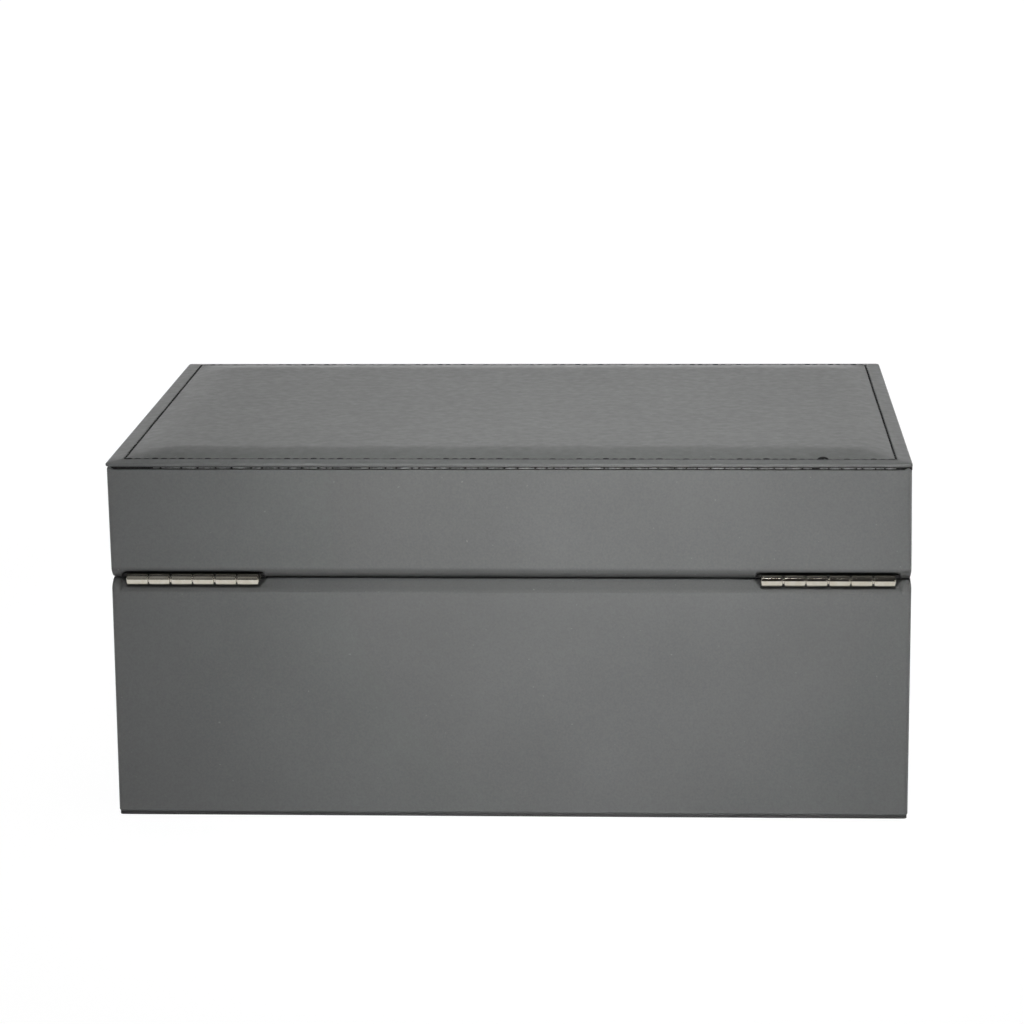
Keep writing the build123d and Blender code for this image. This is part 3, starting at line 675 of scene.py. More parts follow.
def ripple(x, y, length, seed):
    """Gentle waviness from -1 to 1: a sum of slanted sine waves a few lengths long."""
    phase = 0.7 * seed
    waves = (
        np.sin(x / length + 1.3 * y / length + phase)
        + np.sin(1.7 * x / length - 0.9 * y / length + 2.1 * phase)
        + np.sin(0.6 * x / length + 2.2 * y / length + 3.7 * phase)
    )
    return waves / 3


def fade(distance, length):
    """0 up to a distance of 0, rising evenly to 1 over a length."""
    return np.clip(distance / length, 0, 1)


# Padded top

def ring_around(half_x, half_y, radius, shares_x, shares_y):
    """One closed ring of points round a rectangle with rounded corners, anticlockwise from its right.

    Each straight side has one point for each share of its length from -1 to 1, and each corner a
    quarter arc between them. All rings have as many points, so rings of other sizes join them.
    """
    turn = np.linspace(0, math.pi / 2, ARC_POINTS + 2)[1:-1]
    flat_x = half_x - radius
    flat_y = half_y - radius
    straights = [
        np.stack([np.full_like(shares_y, half_x), shares_y * flat_y], -1),
        np.stack([-shares_x * flat_x, np.full_like(shares_x, half_y)], -1),
        np.stack([np.full_like(shares_y, -half_x), -shares_y * flat_y], -1),
        np.stack([shares_x * flat_x, np.full_like(shares_x, -half_y)], -1),
    ]
    corners = [(flat_x, flat_y), (-flat_x, flat_y), (-flat_x, -flat_y), (flat_x, -flat_y)]
    parts = []
    for quarter, (straight, corner) in enumerate(zip(straights, corners)):
        angle = turn + quarter * math.pi / 2
        arc = np.stack([corner[0] + radius * np.cos(angle), corner[1] + radius * np.sin(angle)], -1)
        parts += [straight, arc]
    return np.concatenate(parts)


def roll_rise(distance):
    """Rise from 0 to 1 over the crown's roll: a straight slope that then eases off evenly."""
    slope = 1 / (CROWN_SLOPE + (CROWN_ROLL - CROWN_SLOPE) / 2)
    straight = np.clip(distance, 0, CROWN_SLOPE)
    eased = np.clip(distance - CROWN_SLOPE, 0, CROWN_ROLL - CROWN_SLOPE)
    return slope * (straight + eased - eased**2 / (2 * (CROWN_ROLL - CROWN_SLOPE)))


def crown_rise(x, y, foot_x, foot_y):
    """Height of the cushion over the rim: the rises from both pairs of edges multiplied, so that
    its corners are soft, with a slight waviness that fades out at the stitching."""
    rise = roll_rise(foot_x - np.abs(x)) * roll_rise(foot_y - np.abs(y - mid_y))
    return CROWN_HEIGHT * rise * (1 + CROWN_WAVE_SHARE * ripple(x, y, CROWN_WAVE, 1))


def skewed(x, y, inward):
    """X of points on the top panel, which is glued on a little askew: it lies towards +X, most at
    the back, and its cushion only on that side."""
    back_share = 0.5 + (y - mid_y) / (back_y - front_y)
    shift = TOP_SKEW_FRONT + (TOP_SKEW_BACK - TOP_SKEW_FRONT) * back_share
    return x + shift * (1 - fade(inward, SLAB_RIM) * 0.5 * (1 - x / side_x))


def make_top_cover():
    """The padded top's leatherette in one skin.

    Rings run from under the slab's edge up over its rounded side, across the rim, down and up the
    stitched groove and on up the cushion's roll. A plain grid closes the middle.
    """
    half_x = slab_high[0]
    half_y = slab_half_y
    low_z = slab_low[2] + SLAB_LIFT
    edge_z = slab_rim_z - RIM_FALL
    foot = SLAB_RIM + GROOVE_WIDTH
    turn = np.linspace(0, math.pi / 2, 6)
    lower = [(SLAB_FOOT * (1 - math.sin(a)), low_z + SLAB_FOOT * (1 - math.cos(a))) for a in turn]
    upper = [
        (SLAB_EDGE_WIDTH * (1 - math.cos(a)), edge_z - SLAB_EDGE_HEIGHT * (1 - math.sin(a))) for a in turn
    ]
    rim = [(share * SLAB_RIM, slab_rim_z - RIM_FALL * (1 - share)) for share in RIM_SHARES]
    dip = [
        (SLAB_RIM + share * GROOVE_WIDTH, slab_rim_z - GROOVE_DEPTH * depth)
        for share, depth in GROOVE_SHARES
    ]
    profile = [(SLAB_UNDERSIDE, low_z)] + lower + upper + rim + dip
    roll = CROWN_ROLL * (1 - np.cos(np.linspace(0, math.pi / 2, 22)))
    count_x = 144
    count_y = 104
    shares_x = np.linspace(-1, 1, count_x + 1)
    shares_y = np.linspace(-1, 1, count_y + 1)
    rings = []
    for inward, z in profile:
        radius = max(SLAB_CORNER - inward, 0)
        ring = ring_around(half_x - inward, half_y - inward, radius, shares_x, shares_y)
        rings.append(np.column_stack([ring[:, 0], ring[:, 1] + mid_y, np.full(len(ring), z)]))
    for inward in foot + roll:
        ring = ring_around(half_x - inward, half_y - inward, 0, shares_x, shares_y)
        x = ring[:, 0]
        y = ring[:, 1] + mid_y
        rings.append(np.column_stack([x, y, slab_rim_z + crown_rise(x, y, half_x - foot, half_y - foot)]))
    skirt = grid_mesh("top_skirt", np.array(rings), around=True)
    inner_x = half_x - foot - roll[-1]
    inner_y = half_y - foot - roll[-1]
    x, y = np.meshgrid(shares_x * inner_x, shares_y * inner_y + mid_y, indexing="xy")
    z = slab_rim_z + crown_rise(x, y, half_x - foot, half_y - foot)
    middle = grid_mesh("top_middle", np.stack([x, y, z], -1))
    mesh = joined("top_cover", [skirt, middle])
    x, y, z = corner_places(mesh)
    inward = inset_of(x, y, half_x, half_y, SLAB_CORNER)
    # Painted shade along the bottom of the groove.
    from_groove = np.abs(inward - SLAB_RIM - GROOVE_WIDTH / 2)
    sunk = (z < slab_rim_z - GROOVE_SHADE_DEPTH) * (from_groove < GROOVE_SHADE_SHARE * GROOVE_WIDTH)
    paint_shade(mesh, GROOVE_SHADE * sunk)
    move_corners(mesh, skewed(x, y, inward), y, z)
    piece = add_piece("top_cover", mesh, leatherette, "lid")
    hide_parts("top_leather", "top_foam")


def groove_line():
    """Half sizes of the rectangle that the stitches follow, in the middle of the groove."""
    inward = SLAB_RIM + GROOVE_WIDTH / 2
    return slab_high[0] - inward, slab_half_y - inward


def bead_row(facing, half_x, half_y, z, places, lengths, radius, flatness, wobble, askew=False):
    """Beads along one side of a rectangle, facing 0 to 3 for its front, right, back and left.

    A bead is a circle carried along its length, its radius following a flattened sine so that its
    ends taper, with its sections closer together there, and each bead is turned along its side and
    a little askew.
    """
    sections = 7
    sides = 6
    along = 0.5 - 0.5 * np.cos(np.linspace(0, math.pi, sections))
    swell = np.sin(math.pi * along)[:, None] ** BEAD_FULLNESS
    angle = np.linspace(0, 2 * math.pi, sides + 1)[:-1]
    bead_x = np.repeat(along - 0.5, sides).reshape(sections, sides) * lengths[:, None, None]
    bead_y = radius * swell * np.cos(angle)
    bead_z = flatness * radius * swell * np.sin(angle)
    side = facing * math.pi / 2
    turn = (side + wobble)[:, None, None]
    offset = half_y if facing % 2 == 0 else half_x
    middle_x = (places * math.cos(side) + offset * math.sin(side))[:, None, None]
    middle_y = (places * math.sin(side) - offset * math.cos(side))[:, None, None]
    x = middle_x + bead_x * np.cos(turn) - bead_y * np.sin(turn)
    y = middle_y + bead_x * np.sin(turn) + bead_y * np.cos(turn) + mid_y
    if askew:
        x = skewed(x, y, SLAB_RIM)
    rows = np.stack([x, y, bead_z + np.broadcast_to(z, places.shape)[:, None, None]], -1)
    return [grid_mesh("bead", one, around=True) for one in rows]


def make_stitching():
    """Thread stitches round the groove, sunk between the rim and the cushion.

    The turn, length and height of a stitch follow sines of its number, so that they vary like sewn
    ones, with a slow drift in height along each side.
    """
    half_x, half_y = groove_line()
    meshes = []
    for facing in range(4):
        length = half_x if facing % 2 == 0 else half_y
        count = int(2 * length / STITCH_PITCH)
        number = np.arange(count)
        places = (number - (count - 1) / 2) * (2 * length / count)
        wobble = STITCH_TURN * np.sin(2.4 * number + facing)
        lengths = STITCH_LENGTH * (1 + STITCH_VARIATION * np.sin(1.7 * number))
        waves = STITCH_WAVE * np.sin(2.1 * number + 0.6 * facing) + STITCH_DRIFT * np.sin(0.37 * number)
        height = slab_rim_z - STITCH_SINK + waves
        meshes += bead_row(
            facing, half_x, half_y, height, places, lengths,
            THREAD_RADIUS, STITCH_FLATNESS, wobble, askew=True,
        )
    add_piece("top_stitching", joined("top_stitching", meshes), thread, "lid")


def make_thread_knot():
    """The knot where the stitching begins and ends: a small arch of thread over a lower one.

    Each piece of thread is a circle carried along a half ellipse that stands in the groove, and its
    first and last circles shrink to a tip.
    """
    middle = on_level(KNOT_PIXEL, slab_rim_z)
    groove_y = mid_y + groove_line()[1]
    around = np.linspace(0, 2 * math.pi, 9)[:-1]
    meshes = []
    for shift, width, height in KNOT_LOOPS:
        along = np.linspace(0, math.pi, 15)[:, None]
        radius = np.full_like(along, KNOT_RADIUS)
        radius[[0, -1]] *= KNOT_TIP_SHARE
        lift = radius * np.cos(around)
        x = middle.x + shift + np.cos(along) * (width + lift)
        z = slab_rim_z - KNOT_SINK + np.sin(along) * (height + lift)
        y = groove_y + KNOT_SLANT * shift + radius * np.sin(around)
        meshes.append(grid_mesh("loop", np.stack([x, y, z], -1)[::-1], around=True))
    add_piece("thread_knot", joined("thread_knot", meshes), thread, "lid")


# Lid and base covers, and what shows in the rebate

def corner_nearness(x, y):
    """1 at the box's upright back corners, falling evenly to 0 at the reach of their softness."""
    return np.clip(1 - np.hypot(side_x - np.abs(x), back_y - y) / SOFT_REACH, 0, 1)


def corner_cuts():
    """Planes that give the leather near the back corners enough corners to bend."""
    cuts = []
    for share in (0.2, 0.4, 0.65, 1.0):
        step = share * SOFT_REACH
        cuts += [(0, side_x - step), (0, step - side_x), (1, back_y - step)]
    return cuts


def barrel_axes():
    """Both hinge barrels: middle and half length along X, and the axis' Y and Z."""
    axes = []
    for side_name in ("left", "right"):
        low, high = ends(f"{side_name}_hinge_pin")
        middle = (low + high) / 2
        axes.append((middle[0], (high[0] - low[0]) / 2, middle[1], middle[2]))
    return axes


def past_barrel(x):
    """How far points lie past the ends of the nearer hinge barrel; below 0 alongside it."""
    return np.min([np.abs(x - middle) - half for middle, half, axis_y, axis_z in barrel_axes()], axis=0)


def barrel_cuts():
    """Planes across X near the ends of both barrels."""
    cuts = []
    for middle, half, axis_y, axis_z in barrel_axes():
        for step in BARREL_STEPS:
            cuts += [(0, middle - half - step), (0, middle + half + step)]
    return cuts


def round_troughs(mesh):
    """Draws the ends of the lid's troughs in as quarter ellipses, and says which corners lie in one."""
    x, y, z = corner_places(mesh)
    axis_y, axis_z = barrel_axes()[0][2:]
    past = past_barrel(x)
    away = np.hypot(y - axis_y, z - axis_z)
    inside = (away < TROUGH_RADIUS + TROUGH_MARGIN) & (past < TROUGH_REACH + TROUGH_MARGIN)
    drawn_in = (1 - TROUGH_END_SHARE) * (1 - np.sqrt(1 - fade(past, TROUGH_REACH) ** 2))
    scale = np.where(inside, 1 - drawn_in, 1)
    y = axis_y + (y - axis_y) * scale
    z = np.where(inside, np.maximum(axis_z + (z - axis_z) * scale, lid_low[2]), z)
    move_corners(mesh, x, y, z)
    return inside


def make_lid_cover():
    """The lid's leatherette, drawn in under the padded top and softened at its lower back corners.

    The skin's inward move is a quarter circle down to the rebate's depth near the top, and near the
    bottom the square of the height left, times the nearness to a back corner. The rebate gets painted
    shade, and the back gets painted shade in the troughs and a little above the shut line.
    """
    piece = cover_node("lid_leather", "lid_cover", leatherette, LEATHER_ROUND)
    mesh = work_in(piece)
    seat_z = lid_high[2]
    low_z = lid_low[2]
    step_z = seat_z - REBATE_HEIGHT
    cuts = [(2, step_z - REBATE_ROUND * share) for share in (1, 0.6, 0.3, 0.1, 0)] + [(2, step_z + HAIR)]
    cuts += [(2, low_z + share * LID_SOFT_HEIGHT) for share in (0.1, 0.25, 0.45, 0.7, 0.85, 1, 1.16)]
    for step in (SLAB_CORNER, 1.25 * REBATE_END, 1.6 * REBATE_END):
        cuts += [(0, side_x - step), (0, step - side_x), (1, back_y - step), (1, front_y + step)]
    slice_mesh(mesh, cuts + corner_cuts() + barrel_cuts())
    in_trough = round_troughs(mesh)
    x, y, z = corner_places(mesh)
    near_back = y > back_y - SEAM_SHADE_REACH
    at_seam = SEAM_SHADE * fade(low_z + SEAM_SHADE_HEIGHT - z, SEAM_SHADE_FADE) * near_back
    share = fade(z - (step_z - REBATE_ROUND), REBATE_ROUND)
    shoulder = REBATE_SHOULDER * (1 - np.sqrt(1 - share**2))
    above = z > step_z + HAIR / 2
    soft = (1 - fade(z - low_z, LID_SOFT_HEIGHT)) ** 2 * corner_nearness(x, y)
    from_corner = np.hypot(np.abs(x) - side_x, np.abs(y - mid_y) - half_depth)
    open_share = np.clip(from_corner / REBATE_END - REBATE_CLOSED_SHARE, 0, 1)
    push_skin(mesh, np.where(above, REBATE_DEPTH, shoulder) * open_share + LID_SOFT_DEPTH * soft)
    # Painted shade in the open rebate, in the hinge troughs and above the shut line at the back.
    shades = (above * REBATE_SHADE * open_share, HINGE_SHADE * in_trough, at_seam)
    paint_shade(mesh, np.max(shades, axis=0))
    x, y, z = corner_places(mesh)
    skin = inset_of(x, y, side_x, half_depth, SLAB_CORNER) < REBATE_DEPTH + SKIN_MARGIN
    move_corners(mesh, x + skin * LID_LEAN * (z - low_z) / (seat_z - low_z), y, z)
    keep_flat(piece)


def make_base_cover():
    """The base's leatherette, softened at its upper back corners, with painted shade behind the hinges
    and a little painted shade up its back bevel."""
    piece = cover_node("base_leather", "base_cover", leatherette, LEATHER_ROUND)
    mesh = work_in(piece)
    cuts = [(2, rim_z - share * BASE_SOFT_HEIGHT) for share in (0.1, 0.3, 0.55, 0.8, 1)]
    cuts += [(2, rim_z - BACK_BEVEL + step) for step in BEVEL_STEPS]
    slice_mesh(mesh, cuts + corner_cuts() + barrel_cuts())
    x, y, z = corner_places(mesh)
    soft = (1 - fade(rim_z - z, BASE_SOFT_HEIGHT)) ** 2 * corner_nearness(x, y)
    push_skin(mesh, BASE_SOFT_DEPTH * soft)
    climb = z - (rim_z - BACK_BEVEL)
    past = np.maximum(past_barrel(x), 0)
    by_hinge = fade(climb - HINGE_SHADE_FOOT - past, HINGE_SHADE_FADE)
    by_hinge = by_hinge * fade(HINGE_SHADE_REACH - past, HINGE_SHADE_SIDE)
    up_bevel = BEVEL_SHADE * fade(climb - BEVEL_SHADE_FOOT, BEVEL_SHADE_FADE)
    up_bevel = up_bevel + RIM_SHADE * fade(climb - RIM_SHADE_FOOT, RIM_SHADE_FADE)
    at_back = y > back_y - BACK_BEVEL - BEVEL_MARGIN
    # Painted shade behind the hinges and up the back bevel.
    paint_shade(mesh, np.maximum(HINGE_SHADE * by_hinge, up_bevel) * at_back)
    keep_flat(piece)


def make_hinge_leaf(side_name, member):
    """A hinge leaf with rounded knuckles: near the end of each knuckle the barrel's radius shrinks
    as a quarter ellipse. One leaf sits a little along the pin, so that every second gap is wider."""
    node_name = f"{side_name}_hinge_{member}_leaf"
    node = frame["nodes"][node_name]
    mesh = joined(f"{node_name}_nickel", [node.data], FLAT_ANGLE)
    pin_low, pin_high = ends(f"{side_name}_hinge_pin")
    leaf_low, leaf_high = ends(f"{side_name}_hinge_base_leaf")
    other_low, other_high = ends(f"{side_name}_hinge_lid_leaf")
    first_x = min(leaf_low[0], other_low[0])
    last_x = max(leaf_high[0], other_high[0])
    axis_y, axis_z = ((pin_low + pin_high) / 2)[1:]
    barrel_radius = max(leaf_high[1], other_high[1]) - axis_y
    pitch = (last_x - first_x) / KNUCKLES
    steps = ROUND_SHARES * KNUCKLE_ROUND + KNUCKLE_GAP
    cuts = []
    for index in range(KNUCKLES + 1):
        cuts += [(0, first_x + index * pitch + side * step) for side in (-1, 1) for step in steps]
    slice_mesh(mesh, cuts)
    x, y, z = corner_places(mesh)
    place_in = (x - first_x) / pitch
    to_end = np.abs(place_in - np.round(place_in)) * pitch
    share = np.clip(1 - (to_end - KNUCKLE_GAP) / KNUCKLE_ROUND, 0, 1)
    shrink = KNUCKLE_ROUND * (1 - np.sqrt(1 - share**2))
    away = np.hypot(y - axis_y, z - axis_z)
    skin = np.abs(away - barrel_radius) < BARREL_SKIN_SHARE * barrel_radius
    scale = 1 - np.where(skin, shrink, 0) / barrel_radius
    y = axis_y + (y - axis_y) * scale
    z = axis_z + (z - axis_z) * scale
    gap = np.round(place_in)
    wide = gap % 2 == (1 if side_name == "left" else 0)
    at_gap = (gap > 0) & (gap < KNUCKLES) & (to_end < steps[-1] + HAIR)
    moved = at_gap & (away < BARREL_REACH_SHARE * barrel_radius)
    x = x + np.sign(place_in - gap) * np.where(wide, WIDE_PLAY, NARROW_PLAY) * moved
    move_corners(mesh, x, y, z)
    piece = add_piece(f"{node_name}_nickel", mesh, nickel, node["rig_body"])
    keep_flat(piece)
    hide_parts(node_name)


def make_corner_fold(side, side_name):
    """A fold of leatherette over one end of the base's back bevel.

    Sections across X are circles about the bevel's inner corner, as wide as the bevel, and their
    size follows a superellipse along X, so that the fold grows out of the bevel and closes again.
    A sine round each circle gives the fold three faint lumps.
    """
    along = np.linspace(-1, 1, 25)
    size = np.clip(1 - np.abs(along) ** FOLD_POWER, 0, 1) ** (1 / FOLD_POWER)
    angle = np.linspace(0, 2 * math.pi, 49)[:-1]
    x = side * (side_x + FOLD_PROUD - FOLD_WIDTH / 2 * (1 - along))[:, None] + 0 * angle
    lump = 1 + FOLD_LUMP * np.sin(3 * angle + 1.2)
    radius = FOLD_RADIUS * size[:, None] * lump
    y = back_y - FOLD_DEPTH + radius * np.cos(angle)
    z = rim_z - FOLD_DROP + radius * np.sin(angle)
    points = np.stack([x, y, z], -1)
    if side < 0:
        points = points[::-1]
    mesh = joined(f"{side_name}_corner_fold", [grid_mesh("fold", points, around=True)])
    add_piece(f"{side_name}_corner_fold", mesh, leatherette, "base")


def make_shadow_band():
    """A square black band in the rebate: painted shadow under the padded top."""
    low_z = lid_high[2] - REBATE_HEIGHT - SHADOW_BAND_OVERLAP
    high_z = slab_low[2] + SLAB_LIFT + SHADOW_BAND_OVERLAP
    shares = np.linspace(-1, 1, 3)
    corners = [(SHADOW_BAND_REACH, low_z), (SHADOW_BAND_INSET, low_z), (SHADOW_BAND_INSET, high_z), (SHADOW_BAND_REACH, high_z)]
    rings = []
    for inward, z in corners + corners[:1]:
        ring = ring_around(side_x - inward, half_depth - inward, SLAB_CORNER - inward, shares, shares)
        rings.append(np.column_stack([ring[:, 0], ring[:, 1] + mid_y, np.full(len(ring), z)]))
    mesh = joined("painted_shadow_band", [grid_mesh("band", np.array(rings), around=True)])
    add_piece("painted_shadow_band", mesh, shadow_black, "lid", smooth=False)


def make_panel_strip():
    """The light strip that shows in broken lengths between the padded top and the lid's leather.

    The lengths and gaps of a side are drawn and laid end to end, and those at the break are cut.
    """
    half_x = side_x - STRIP_INSET
    half_y = half_depth - STRIP_INSET
    meshes = []
    break_x = on_level(BREAK_PIXEL, lid_high[2]).x
    draw = np.random.default_rng(7)
    for facing, (first, last) in enumerate(STRIP_SHARES):
        half = half_x if facing % 2 == 0 else half_y
        lengths = draw.uniform(*STRIP_LENGTHS, STRIP_DRAWS)
        gaps = draw.uniform(*STRIP_GAPS, STRIP_DRAWS)
        highs = np.cumsum(lengths + gaps) + first * half
        lows = highs - lengths
        if facing == 2:
            cut_low = -break_x - BREAK_HALF
            cut_high = -break_x + BREAK_HALF
            cut = (lows < cut_high) & (highs > cut_low)
            first_low = lows[cut].min()
            last_high = highs[cut].max()
            lows = np.append(lows[~cut], [first_low, cut_high])
            highs = np.append(highs[~cut], [cut_low, last_high])
        kept = (highs < last * half) & (highs - lows > 2 * STRIP_RADIUS)
        places = ((lows + highs) / 2)[kept]
        lengths = (highs - lows)[kept]
        tilt = draw.uniform(-STRIP_TILT, STRIP_TILT, len(places))
        height = lid_high[2] - STRIP_DROP
        meshes += bead_row(facing, half_x, half_y, height, places, lengths, STRIP_RADIUS, 1.0, tilt)
    add_piece("panel_seam_strip", joined("panel_seam_strip", meshes), strip_paper, "lid")


# Inside: ring rolls and ribbon pulls

def make_ring_roll(number):
    """A velvet foam roll: sections like a rounded arch, carried along the roll.

    A section is a superellipse, squarer below than above, and near each end it draws in as a
    quarter ellipse, so that the ends are soft. The last sections close each end.
    """
    node = f"ring_roll_{number}"
    low, high = ends(node)
    half_length = (high[0] - low[0]) / 2
    along = np.linspace(-1, 1, 97) * half_length
    to_end = fade(half_length - np.abs(along), ROLL_END)
    full = ROLL_END_SHARE + (1 - ROLL_END_SHARE) * np.sqrt(1 - (1 - to_end) ** 2)
    full = full + ROLL_WAVE_SHARE * np.sin(along / ROLL_WAVE + number)
    angle = np.linspace(0, 2 * math.pi, 65)[:-1]
    power = np.where(np.sin(angle) > 0, 2 / ROLL_POWER_ABOVE, 2 / ROLL_POWER_BELOW)
    across = np.sign(np.cos(angle)) * np.abs(np.cos(angle)) ** power
    upward = np.sign(np.sin(angle)) * np.abs(np.sin(angle)) ** power
    middle = (low + high) / 2
    half = (high - low) / 2 * ROLL_WIDTH_SHARE
    split_z = middle[2] - ROLL_SPLIT_SHARE * half[2]
    rise = np.where(upward > 0, high[2] - split_z - ROLL_ROOM, split_z - low[2])
    tips = len(TIP_SIZE_SHARES)
    shrink = np.concatenate([TIP_SIZE_SHARES, np.ones(len(along)), TIP_SIZE_SHARES[::-1]])
    bulge = np.concatenate([-TIP_BULGE_SHARES, np.zeros(len(along)), TIP_BULGE_SHARES[::-1]]) * ROLL_BULGE
    full = np.pad(full, tips, mode="edge")
    along = np.pad(along, tips, mode="edge") * ROLL_LENGTH_SHARE + bulge
    size = (full * shrink)[:, None]
    foot = np.where(upward > 0, 1, 1 / np.maximum(full[:, None], 0.5))
    x = np.broadcast_to(middle[0] + along[:, None], size.shape[:1] + angle.shape)
    y = middle[1] + half[1] * size * across
    z = split_z + rise * np.minimum(size * foot, 1) * upward
    mesh = joined(f"velvet_roll_{number}", [grid_mesh("roll", np.stack([x, y, z], -1), around=True)])
    piece = add_piece(f"velvet_roll_{number}", mesh, velvet, "upper_tray")
    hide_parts(node)


def make_ribbon_pull(tray, side, side_name):
    """A satin loop that stands out of a tray's side wall: a ribbon bent to a half ring, a little
    flattened and flared, so that its middle hangs lower than a true circle."""
    node = f"{tray}_tray_pulls"
    low, high = ends(node)
    wall_x = high[0] * side
    reach = PULL_RADIUS - RIBBON_THICKNESS
    middle_z = (low[2] + high[2]) / 2
    angle = np.linspace(-math.pi / 2, math.pi / 2, 33)
    width = np.linspace(low[1], high[1], 15)
    bow = 1 - PULL_FLARE * np.cos(2 * angle)
    x = wall_x - side * (reach * np.cos(angle) * bow)[:, None] + 0 * width
    z = (middle_z + reach * np.sin(angle) - PULL_SAG * np.cos(angle))[:, None] + 0 * width
    y = np.broadcast_to(width, x.shape)
    points = np.stack([x, y, z], -1)
    if side > 0:
        points = points[::-1]
    piece = add_piece(
        f"{tray}_{side_name}_pull", grid_mesh("pull", points), ribbon, f"{tray}_tray"
    )
    weave = piece.modifiers.new("ribbon_thickness", "SOLIDIFY")
    weave.thickness = RIBBON_THICKNESS
    weave.offset = 1
    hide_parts(node)


# Camera, floor and lights

def camera_axes():
    """The camera's right, up and forward directions from its yaw, pitch and roll."""
    yaw, pitch, roll = (math.radians(a) for a in (EYE_YAW, EYE_PITCH, EYE_ROLL))
    reach = math.cos(pitch)
    forward = Vector((math.sin(yaw) * reach, -math.cos(yaw) * reach, -math.sin(pitch)))
    level = Vector((-math.cos(yaw), -math.sin(yaw), 0))
    above = level.cross(forward)
    right = level * math.cos(roll) + above * math.sin(roll)
    up = above * math.cos(roll) - level * math.sin(roll)
    return right, up, forward


def on_level(pixel, z):
    """The point at a height z that a pixel of the photograph shows."""
    right, up, forward = camera_axes()
    across, down = ((at - PHOTO_PIXELS / 2) / FOCAL_PIXELS for at in pixel)
    ray = forward + right * across - up * down
    return Vector(EYE) + ray * ((z - EYE[2]) / ray.z)


def make_camera():
    """The camera at the photograph's place, with its lens."""
    right, up, forward = camera_axes()
    data = bpy.data.cameras.new("photo_camera")
    data.sensor_width = SENSOR_MM
    data.lens = FOCAL_PIXELS * SENSOR_MM / PHOTO_PIXELS
    data.clip_start = 0.01
    data.clip_end = 100
    camera = bpy.data.objects.new("photo_camera", data)
    bpy.context.scene.collection.objects.link(camera)
    turn = Matrix((right, up, -forward)).transposed().to_4x4()
    camera.matrix_world = Matrix.Translation(EYE) @ turn
    bpy.context.scene.camera = camera


def add_floor_plane(name, z, material):
    """A wide level square of the stage."""
    corners = [(x * STAGE_REACH, y * STAGE_REACH, z) for x, y in ((-1, -1), (1, -1), (1, 1), (-1, 1))]
    mesh = bpy.data.meshes.new(name)
    mesh.from_pydata(corners, [], [(0, 1, 2, 3)])
    mesh.materials.append(material)
    plane = bpy.data.objects.new(name, mesh)
    bpy.context.scene.collection.objects.link(plane)
    return plane


def glowing_material(name, strength):
    """A white stage surface that only glows."""
    material, shader = new_material(name, Roughness=1.0, Specular_IOR_Level=0.0)
    shader.inputs["Base Color"].default_value = (*grey(0.0), 1)
    shader.inputs["Emission Color"].default_value = (1, 1, 1, 1)
    shader.inputs["Emission Strength"].default_value = strength
    return material


def make_wall(name, turns, distance, height, material):
    """A white wall across one side of the table, turned so many quarter turns from the front one."""
    angle = turns * math.pi / 2
    along = np.array([-1, 1, 1, -1]) * distance
    z = np.array([0, 0, height, height])
    x = along * math.cos(angle) + distance * math.sin(angle)
    y = along * math.sin(angle) - distance * math.cos(angle)
    mesh = bpy.data.meshes.new(name)
    mesh.from_pydata(np.stack([x, y, z], -1), [], [(0, 3, 2, 1)])
    mesh.materials.append(material)
    wall = bpy.data.objects.new(name, mesh)
    bpy.context.scene.collection.objects.link(wall)
    wall.visible_diffuse = False
    wall.visible_shadow = False
    wall.visible_glossy = False
    return wall


def make_walls():
    """White walls round the table, and a low one beyond the box's front that its top mirrors."""
    material = glowing_material("white_wall", 1.0)
    for turns, name in enumerate(("front_wall", "right_wall", "back_wall", "left_wall")):
        make_wall(name, turns, WALL_DISTANCE, WALL_HEIGHT, material)
    glow = glowing_material("mirrored_glow", MIRRORED_GLOW)
    mirrored = make_wall("mirrored_wall", 0, WALL_DISTANCE - MIRRORED_STEP, MIRRORED_HEIGHT, glow)
    mirrored.visible_camera = False
    mirrored.visible_glossy = True


def make_floor():
    """A white floor in two layers: the upper one is seen and mirrored and takes a faint shadow,
    and the lower one gives the soft light that comes up from a white table."""
    material, shader = new_material("white_floor", Roughness=1.0, Specular_IOR_Level=0.0)
    shader.inputs["Base Color"].default_value = (*grey(0.1), 1)
    shader.inputs["Emission Color"].default_value = (1, 1, 1, 1)
    distance = add_node(material, "ShaderNodeVectorMath", operation="LENGTH")
    join(material, place(material), distance.inputs[0])
    glow = span_map(material, distance.outputs["Value"], FLOOR_SPAN, FLOOR_BRIGHTNESS)
    join(material, glow, shader.inputs["Emission Strength"])
    seen = add_floor_plane("floor", 0.0, material)
    seen.visible_diffuse = False
    glowing = add_floor_plane("floor_glow", -FLOOR_LAYER, glowing_material("floor_glow", FLOOR_GLOW))
    glowing.visible_camera = False
    glowing.visible_glossy = False
    glowing.visible_shadow = False


def add_softbox(name, at, aim, size, watts, spread=180, lights=True, mirrored=True):
    """A rectangular soft light at a point, turned towards another point, its beam so many degrees
    wide. It may be left out of reflections, or only be a reflection."""
    data = bpy.data.lights.new(name, "AREA")
    data.shape = "RECTANGLE"
    data.size, data.size_y = size
    data.energy = watts
    data.spread = math.radians(spread)
    light = bpy.data.objects.new(name, data)
    bpy.context.scene.collection.objects.link(light)
    light.visible_camera = False
    light.visible_diffuse = lights
    light.visible_glossy = mirrored
    light.location = at
    light.rotation_euler = (Vector(aim) - Vector(at)).to_track_quat("-Z", "Y").to_euler()


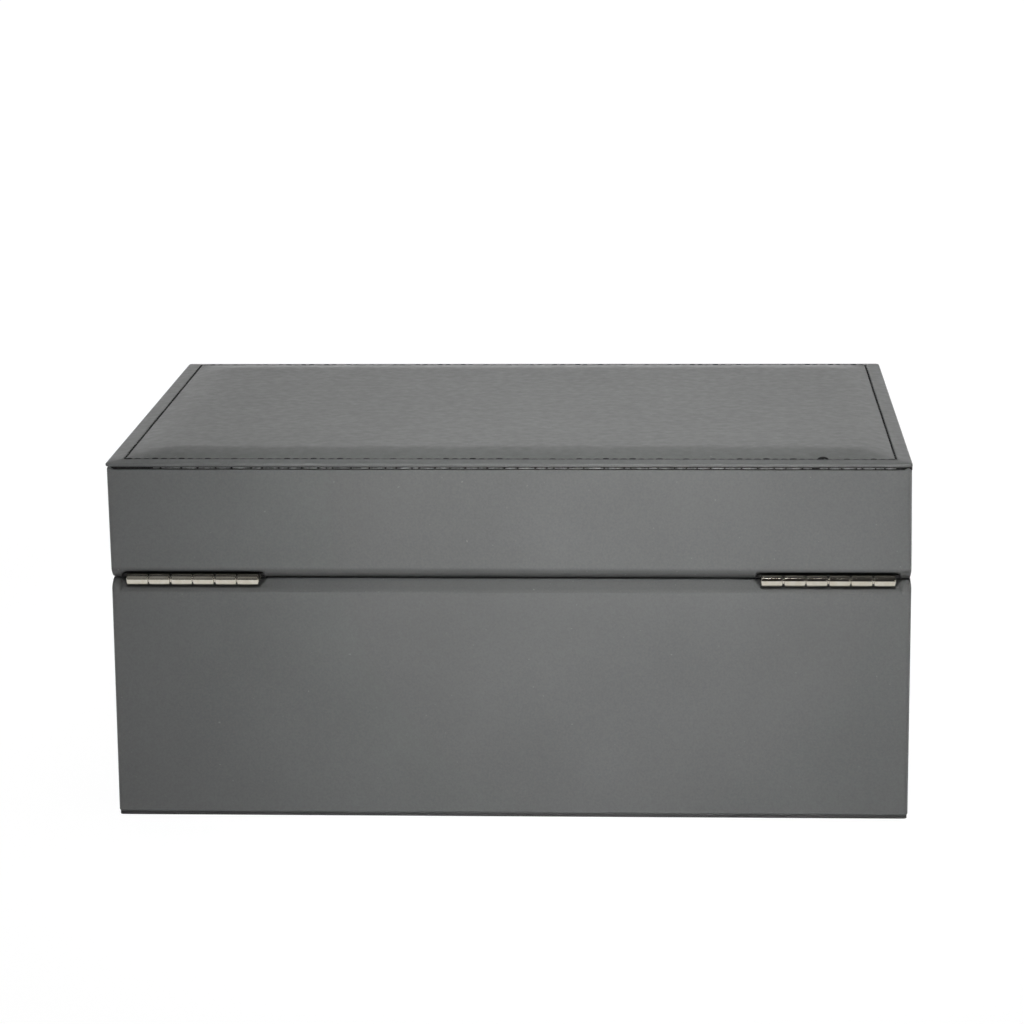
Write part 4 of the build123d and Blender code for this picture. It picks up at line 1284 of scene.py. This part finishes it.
def make_light():
    """Soft studio light: one box overhead, a low one beyond the box, one at the camera's right, a
    weak one by the camera, and three that only show in the nickel."""
    scene = bpy.context.scene
    scene.world = bpy.data.worlds.new("studio")
    scene.world.use_nodes = True
    background = scene.world.node_tree.nodes["Background"]
    background.inputs["Color"].default_value = (1, 1, 1, 1)
    background.inputs["Strength"].default_value = STUDIO_GLOW
    scene.view_settings.view_transform = "Standard"
    box = (0, 0, 0.08)
    back = (-0.04, back_y, 0.14)
    hinges = (0, back_y, 0.09)
    right_hinge = (0.1, back_y, 0.09)
    add_softbox("overhead_softbox", at=(0, -0.2, 1.9), aim=box, size=(1.6, 1.2), watts=18, mirrored=False)
    add_softbox("far_softbox", at=(0, -2.5, 0.45), aim=box, size=(2.6, 0.6), watts=4.8)
    add_softbox("right_softbox", at=(-1.4, 1.6, 0.6), aim=box, size=(0.7, 0.7), watts=3.8)
    add_softbox(
        "camera_light",
        at=(-0.06, 1.3, 0.9), aim=back, size=(0.2, 0.2), watts=0.38, spread=20, mirrored=False,
    )
    add_softbox("line_reflection", at=(0, 0.63, 1.9), aim=hinges, size=(1.6, 0.08), watts=0.09, lights=False)
    add_softbox(
        "spark_reflection", at=(-0.1, 1.0, 1.4), aim=hinges, size=(0.06, 0.06), watts=0.3, lights=False
    )
    add_softbox(
        "grey_reflection", at=(0.6, 1.0, 0.8), aim=right_hinge, size=(0.9, 1.35), watts=0.95, lights=False
    )


# Making the box

make_top_cover()
make_stitching()
make_thread_knot()
make_base_cover()
make_lid_cover()
make_shadow_band()
make_panel_strip()
for side, side_name in ((-1, "left"), (1, "right")):
    make_corner_fold(side, side_name)

for number in range(1, 6):
    make_ring_roll(number)
for tray in ("lower", "upper"):
    for side, side_name in ((-1, "left"), (1, "right")):
        make_ribbon_pull(tray, side, side_name)

# Velvet over card: each node with the width of its rounded edges, in millimetres.
velvet_nodes = {
    "base_wall_lining": 0.3,
    "base_floor_lining": 0.3,
    "left_tray_ledge": 0.5,
    "right_tray_ledge": 0.5,
    "base_long_divider": 0.5,
    "base_cross_divider": 0.5,
    "lid_wall_lining": 0.3,
    "mirror_frame": 0.4,
}
for tray in ("lower", "upper"):
    velvet_nodes.update({
        f"{tray}_tray_floor": 0.4,
        f"{tray}_tray_walls": 0.3,
        f"{tray}_tray_long_divider": 0.6,
        f"{tray}_tray_cross_dividers": 0.6,
    })
for name, width in velvet_nodes.items():
    cover_node(name, f"{name}_velvet", velvet, width * MM)

# Nickel fittings, with the width of their rounded edges, in millimetres.
nickel_nodes = {
    "left_hinge_pin": 0.1,
    "right_hinge_pin": 0.1,
    "lock_case": 0.15,
    "lock_bezel": 0.2,
    "lock_plug": 0.12,
    "lock_bolt": 0.12,
    "lock_keeper": 0.15,
}
for side_name in ("left", "right"):
    for member in ("base", "lid"):
        make_hinge_leaf(side_name, member)
for name, width in nickel_nodes.items():
    cover_node(name, f"{name}_nickel", nickel, width * MM)
for name in ("hinge_base_screws", "hinge_lid_screws", "lock_screws", "keeper_screws"):
    paint_node(name, nickel)

# Boards, of which those at the back, where the hinges sit, are near black as painted shade in the
# hinge pockets, and what else stays.
for name in frame["nodes"]:
    if name.endswith("_board"):
        paint_node(name, shade_black_board if "back" in name else board)
paint_node("top_card", card)
paint_node("mirror", mirror_glass)
paint_node("underside_sheet", flock)

make_camera()
make_floor()
make_walls()
make_light()
